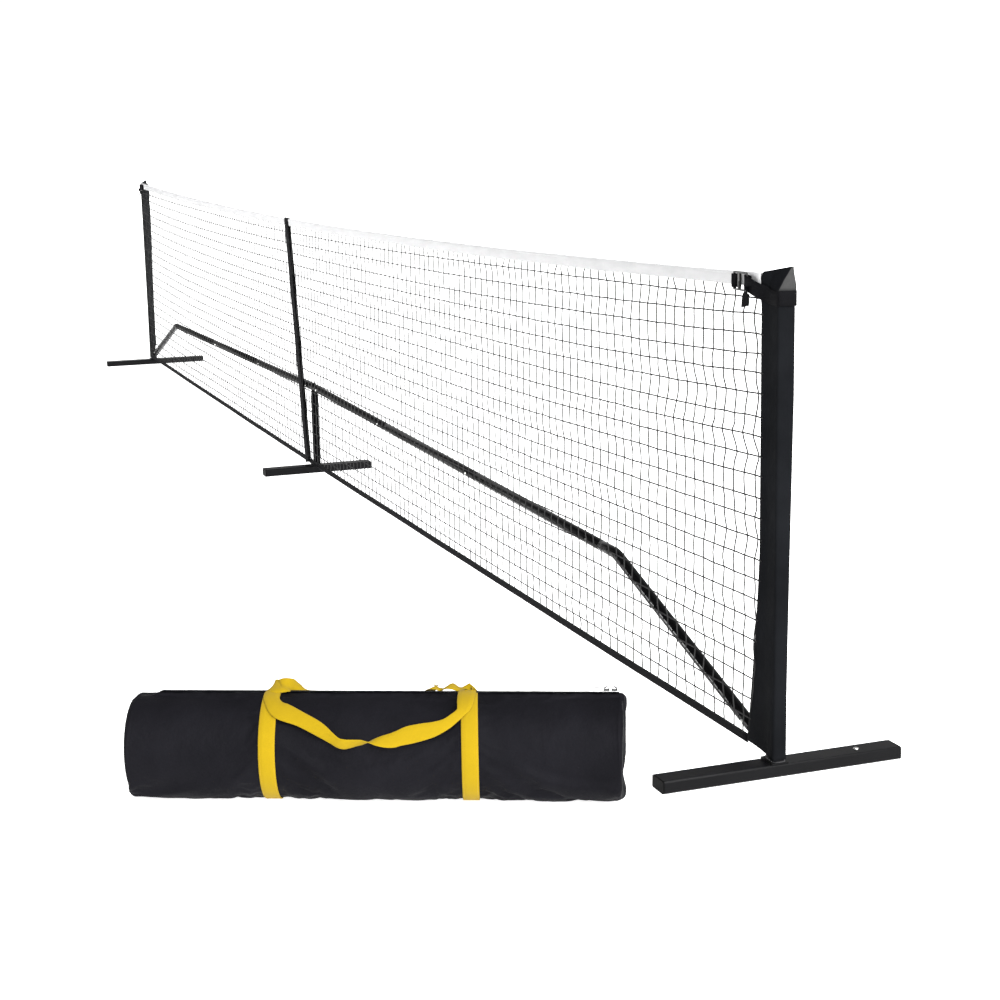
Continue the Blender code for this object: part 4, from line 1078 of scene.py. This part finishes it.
def two_rail_ribbon(name, rails, thick, look, body, slot):
    """A strap between two edge routes given as rows of (s, angle, lift) pairs, in mm and degrees."""
    rails = catmull(np.array(rails, float), 6)
    edges = []
    for k in (0, 3):
        s, angle, lift = rails[:, k] / 1000, np.radians(rails[:, k + 1]), rails[:, k + 2] / 1000
        radius = BAG_R + lift
        edge = [s, -radius * np.sin(angle), BAG_AXIS_Z + radius * np.cos(angle)]
        edges.append(bag_place(np.stack(edge, -1)))
    first, second = edges
    centres, acrosses = (first + second) / 2, second - first
    return ribbon(name, centres, acrosses, np.linalg.norm(acrosses, axis=1), thick, look, body, slot)


FRONT_HANDLE = (
    (-204.6, -10.0, 3.2, -176.7, -10.0, 3.2),
    (-203.9, 12.9, 3.4, -175.4, 8.4, 3.4),
    (-196.8, 25.3, 4.0, -172.2, 17.7, 4.0),
    (-186.5, 37.2, 4.6, -163.5, 23.7, 5.0),
    (-173.2, 44.1, 5.0, -148.8, 28.9, 6.0),
    (-135.4, 52.3, 6.5, -120.3, 39.3, 8.0),
    (-103.8, 61.2, 7.5, -90.4, 49.6, 10.0),
    (-74.5, 69.8, 7.5, -67.3, 61.1, 16.0),
    (-61.2, 74.1, 7.0, -55.6, 65.6, 19.0),
    (-50.6, 75.5, 6.5, -45.9, 66.6, 20.0),
    (-39.0, 74.3, 6.0, -35.8, 66.7, 20.0),
    (-27.5, 72.5, 5.5, -25.2, 66.8, 20.0),
    (-16.0, 70.8, 5.0, -15.0, 67.2, 20.0),
    (-5.0, 67.8, 4.5, -3.8, 69.2, 20.5),
    (5.9, 64.7, 4.5, 6.8, 71.6, 18.5),
    (18.8, 61.7, 4.5, 20.3, 73.4, 15.0),
    (36.8, 59.0, 5.0, 34.6, 73.8, 11.5),
    (49.3, 56.5, 6.0, 45.0, 72.1, 9.0),
    (63.6, 52.1, 7.0, 64.9, 70.3, 7.0),
    (83.6, 49.8, 8.0, 90.3, 66.7, 6.0),
    (105.1, 48.2, 9.0, 110.6, 62.6, 6.0),
    (124.9, 45.1, 9.5, 131.2, 55.8, 6.0),
    (137.8, 39.6, 9.0, 144.7, 49.1, 6.0),
    (148.0, 32.8, 7.5, 157.9, 41.3, 5.5),
    (148.1, 26.1, 6.0, 168.1, 34.4, 5.0),
    (145.4, 17.8, 5.0, 173.8, 23.4, 4.6),
    (144.6, 4.7, 4.2, 174.5, 10.5, 4.2),
    (144.5, -12.7, 3.4, 174.2, -5.8, 3.4),
    (149.5, -11.0, 3.2, 177.2, -9.0, 3.2),
)
BACK_HANDLE = (
    (-203.7, -52.0, 3.2, -175.9, -52.0, 3.2),
    (-203.2, -36.0, 3.4, -175.4, -36.0, 3.6),
    (-201.2, -22.0, 4.2, -180.4, -29.0, 8.5),
    (-199.1, -10.0, 4.0, -193.3, -22.0, 18.5),
    (-183.8, 4.5, 4.0, -177.9, -20.0, 20.0),
    (-169.7, -10.0, 4.5, -161.5, -20.0, 20.5),
    (-156.6, -19.0, 7.0, -148.7, -31.0, 15.0),
    (-141.7, -23.0, 5.0, -135.8, -40.0, 9.0),
    (-121.9, -31.0, 4.5, -115.0, -49.0, 7.0),
    (-90.2, -46.0, 4.5, -83.3, -63.0, 7.0),
    (-50.6, -60.0, 4.5, -48.6, -77.0, 7.0),
    (-1.0, -66.0, 4.5, -1.0, -84.0, 7.0),
    (40.6, -58.0, 4.5, 44.6, -75.0, 7.0),
    (64.4, -42.0, 4.5, 73.3, -58.0, 7.0),
    (79.3, -26.0, 4.5, 88.2, -42.0, 9.0),
    (92.1, -14.0, 6.0, 99.1, -28.0, 13.0),
    (107.0, -18.0, 5.0, 111.5, -33.0, 10.0),
    (118.8, -13.0, 6.0, 122.9, -25.0, 15.0),
    (127.7, -11.0, 6.0, 132.8, -25.0, 15.5),
    (139.6, -13.0, 4.5, 147.7, -31.0, 10.0),
    (147.7, -24.0, 4.0, 169.5, -34.0, 5.0),
    (150.1, -38.0, 3.4, 177.9, -40.0, 3.4),
    (150.1, -52.0, 3.2, 177.9, -52.0, 3.2),
)


def bag_webbing():
    """Two bands round the bag, and the two handles that start from their ends."""
    for word, middle, lean in zip(("left", "right"), BAND_S, BAND_LEAN):
        centres, acrosses = [], []
        lift = 0.0003 + WEBBING / 2
        for angle in np.radians(np.arange(-3, 360 - 24, 2.5)):
            s, y, z = round_bag(middle + lean * sin(angle), angle, lift)
            centres.append((s, y, max(z, WEBBING / 2 + 0.0001)))
        centres = bag_place(centres)
        along = bag_place([(1, 0, 0)]) - bag_place([(0, 0, 0)])
        acrosses = np.tile(along, (len(centres), 1))
        size = WEBBING_WIDTH, WEBBING
        name = f"bag_{word}_webbing_band"
        band = ribbon(name, centres, acrosses, *size, YELLOW_WEB, "bag", "yellow_webbing")
        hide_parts(f"bag_{word}_band")
        rows = []
        for offset in (-WEBBING_WIDTH / 2 + 0.003, WEBBING_WIDTH / 2 - 0.003):
            row = []
            for angle in np.radians(np.arange(24, 300, 2.5)):
                place = middle + lean * sin(angle) + offset
                s, y, z = round_bag(place, angle, lift + WEBBING / 2)
                row.append((s, y, max(z, WEBBING / 2)))
            rows.append((bag_place(row), (0, 0, 0)))
        name = f"bag_{word}_band_stitching"
        stitch_lines(name, rows, 0.0045, 0.00034, YELLOW_THREAD, "bag")
    for word, rails, start, end in (("front", FRONT_HANDLE, 12, 30), ("back", BACK_HANDLE, -36, -56)):
        strap = two_rail_ribbon(f"bag_{word}_grip", rails, WEBBING, YELLOW_WEB, None, "yellow_webbing")
        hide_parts(f"bag_{word}_handle")
        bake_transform(strap)


def bag_zip():
    """Zip tape along the top, its sewn edges and two rows of interlocked teeth."""
    ss = np.linspace(ZIP_S[0], ZIP_S[1], 90)
    out = np.array(round_bag(0, ZIP_ANGLE, 0)) - np.array(round_bag(0, ZIP_ANGLE, -0.01))
    out = unit(out)
    centres = bag_place([round_bag(s, ZIP_ANGLE, 0.0006) for s in ss])
    side = bag_place([(0.0, -out[2], out[1])]) - bag_place([(0, 0, 0)])
    acrosses = np.tile(side, (len(centres), 1))
    tape = ribbon("bag_zip_tape", centres, acrosses, 0.022, 0.0008, BLACK_WEB, "bag", "bag_cloth")
    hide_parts("bag_zip_track")
    box = np.array([(a, b, c) for a in (-1, 1) for b in (-1, 1) for c in (0, 1)], float)
    quads = [(0, 1, 3, 2), (4, 6, 7, 5), (0, 4, 5, 1), (2, 3, 7, 6), (0, 2, 6, 4), (1, 5, 7, 3)]
    points, faces = [], []
    step = 0.0019
    count = int((ZIP_S[1] - ZIP_S[0] - 0.01) / step)
    cross = np.array([0.0, -out[2], out[1]])
    for i in range(count):
        s = ZIP_S[0] + 0.005 + step * i
        centre = np.array(round_bag(s, ZIP_ANGLE, 0.0009))
        shift = cross * (0.0007 if i % 2 else -0.0007)
        for a, b, c in box:
            narrow = 1 - 0.35 * c
            tooth = centre + shift + (a * 0.0007 * narrow, 0, 0)
            points.append(tooth + cross * b * 0.0019 * narrow + out * c * 0.0017)
        faces += [tuple(k + i * 8 for k in quad) for quad in quads]
    mesh_piece("bag_zip_teeth", bag_place(points), faces, PLASTIC, "bag")
    rows = []
    for offset in (-0.0085, 0.0085):
        row = bag_place([np.array(round_bag(s, ZIP_ANGLE, 0.0011)) + cross * offset for s in ss])
        rows.append((row, (0, 0, 0)))
    stitch_lines("bag_zip_stitching", rows, 0.004, 0.0003, BLACK_THREAD, "bag")


# ---- Camera, light and floor --------------------------------------------------------
CAMERA_PLACE = (6.2695, -1.5733, 1.1878)
CAMERA_TURN = radians(70.2594)
CAMERA_TILT = radians(-11.4488)
CAMERA_ROLL = radians(-1.1451)
CAMERA_LENS = 67.31
FLOOR_Z = -0.0002


def camera():
    data = bpy.data.cameras.new("camera")
    data.lens = CAMERA_LENS
    data.sensor_width = 36.0
    data.clip_end = 100.0
    made = bpy.data.objects.new("camera", data)
    bpy.context.scene.collection.objects.link(made)
    turn = Matrix.Rotation(CAMERA_TURN, 4, "Z") @ Matrix.Rotation(pi / 2 + CAMERA_TILT, 4, "X")
    turn = turn @ Matrix.Rotation(CAMERA_ROLL, 4, "Z")
    made.matrix_world = Matrix.Translation(CAMERA_PLACE) @ turn
    bpy.context.scene.camera = made


def floor():
    reach = 60.0
    mesh = bpy.data.meshes.new("studio_floor")
    corners = [(-reach, -reach), (reach, -reach), (reach, reach), (-reach, reach)]
    mesh.from_pydata([(x, y, FLOOR_Z) for x, y in corners], [], [(0, 1, 2, 3)])
    mesh.materials.append(floor_material())
    made = bpy.data.objects.new("studio_floor", mesh)
    bpy.context.scene.collection.objects.link(made)


def area_light(name, place, target, size, watts):
    data = bpy.data.lights.new(name, "AREA")
    data.shape = "RECTANGLE"
    data.size, data.size_y = size
    data.energy = watts
    made = bpy.data.objects.new(name, data)
    bpy.context.scene.collection.objects.link(made)
    made.location = place
    made.rotation_euler = (Vector(target) - Vector(place)).to_track_quat("-Z", "Y").to_euler()
    return made


def lights():
    """A pale surround, dimmer towards -Y, one broad soft sun, and softboxes for the tubes."""
    world = bpy.data.worlds.new("studio")
    bpy.context.scene.world = world
    world.use_nodes = True
    tree = world.node_tree
    direction = add(tree, "ShaderNodeTexCoord").outputs["Generated"]
    ways = add(tree, "ShaderNodeSeparateXYZ", {"Vector": direction})
    colour = ramp(tree, ways.outputs["Z"], ((0.0, 1.0), (0.10, 1.0), (0.25, 0.45), (0.5, 0.40), (1.0, 0.42)))
    turned = maths(tree, "MULTIPLY_ADD", ways.outputs["Y"], 0.5, 0.5)
    dimmed = scaled(tree, colour, ramp(tree, turned, ((0.05, 0.5), (0.45, 1.0))))
    tree.links.new(dimmed, tree.nodes["Background"].inputs["Color"])
    tree.nodes["Background"].inputs["Strength"].default_value = 1.05
    data = bpy.data.lights.new("soft_sun", "SUN")
    data.energy = 7.0
    data.angle = radians(60)
    made = bpy.data.objects.new("soft_sun", data)
    bpy.context.scene.collection.objects.link(made)
    made.rotation_euler = Vector((0.84, -0.02, 0.54)).to_track_quat("Z", "Y").to_euler()
    area_light("side_softbox", (-1.6, -3.84, 0.5), (3.0, 0.0, 0.15), (0.8, 0.7), 80.0)
    area_light("top_softbox", (4.3, 1.0, 2.7), (3.35, -0.1, 0.0), (1.6, 0.5), 60.0)


def colour_space():
    bpy.context.scene.view_settings.view_transform = "Standard"


# ---- CAD nodes that stay ------------------------------------------------------------
def smoothing_group():
    """Geometry nodes that join a node's split corners and shade its round faces smooth."""
    group = bpy.data.node_groups.new("smooth_round_faces", "GeometryNodeTree")
    group.interface.new_socket("Geometry", in_out="INPUT", socket_type="NodeSocketGeometry")
    group.interface.new_socket("Geometry", in_out="OUTPUT", socket_type="NodeSocketGeometry")
    start = group.nodes.new("NodeGroupInput")
    end = group.nodes.new("NodeGroupOutput")
    forget = add(group, "GeometryNodeRemoveAttribute", {"Name": "custom_normal"})
    group.links.new(start.outputs[0], forget.inputs["Geometry"])
    merge = add(group, "GeometryNodeMergeByDistance", {"Distance": 1e-5})
    group.links.new(forget.outputs["Geometry"], merge.inputs["Geometry"])
    faces = add(group, "GeometryNodeSetShadeSmooth", {"Shade Smooth": True}, domain="FACE")
    group.links.new(merge.outputs["Geometry"], faces.inputs["Geometry"])
    angle = group.nodes.new("GeometryNodeInputMeshEdgeAngle")
    sharp = add(group, "FunctionNodeCompare", {0: angle.outputs[0], 1: radians(35)}, operation="GREATER_THAN")
    edges = add(group, "GeometryNodeSetShadeSmooth", {"Shade Smooth": False}, domain="EDGE")
    group.links.new(faces.outputs["Geometry"], edges.inputs["Geometry"])
    group.links.new(sharp.outputs[0], edges.inputs["Selection"])
    group.links.new(edges.outputs["Geometry"], end.inputs[0])
    return group


SMOOTHING = smoothing_group()


def finish_node(name, look, bevel=0.0):
    """A CAD node that stays: its material, smooth round faces and softened edges."""
    node = NODES[name]
    node.data.materials.clear()
    node.data.materials.append(look)
    smooth = node.modifiers.new("smooth_round_faces", "NODES")
    smooth.node_group = SMOOTHING
    if bevel:
        soften = node.modifiers.new("soften_edges", "BEVEL")
        soften.width = bevel
        soften.segments = 3
        soften.limit_method = "ANGLE"
        soften.angle_limit = radians(35)
        soften.harden_normals = True


def cad_nodes():
    for name in NODES:
        if name.endswith("snap_button") or name.endswith("rivet"):
            finish_node(name, ZINC)
        elif "foot_bar" in name:
            finish_node(name, FOOT_STEEL, 0.0010)
        elif "foot_cap" in name or "post_cap" in name:
            finish_node(name, CAP_PLASTIC, 0.0006)
        elif name.endswith("buckle"):
            finish_node(name, PLASTIC, 0.0008)
        elif "zip" in name:
            finish_node(name, PLASTIC, 0.0002)
        elif name.endswith("foot_bracket"):
            finish_node(name, FOOT_STEEL, 0.0006)
        elif name.endswith("brace"):
            finish_node(name, BRACE_STEEL)
        else:
            finish_node(name, STEEL)


def main():
    camera()
    floor()
    lights()
    colour_space()
    cad_nodes()
    netting()
    headband()
    bottom_tape()
    centre_strap()
    for side, word in SIDES:
        sleeve(side, word)
        tension_strap(side, word)
    weld_beads()
    bag_skin()
    bag_webbing()
    bag_zip()


main()
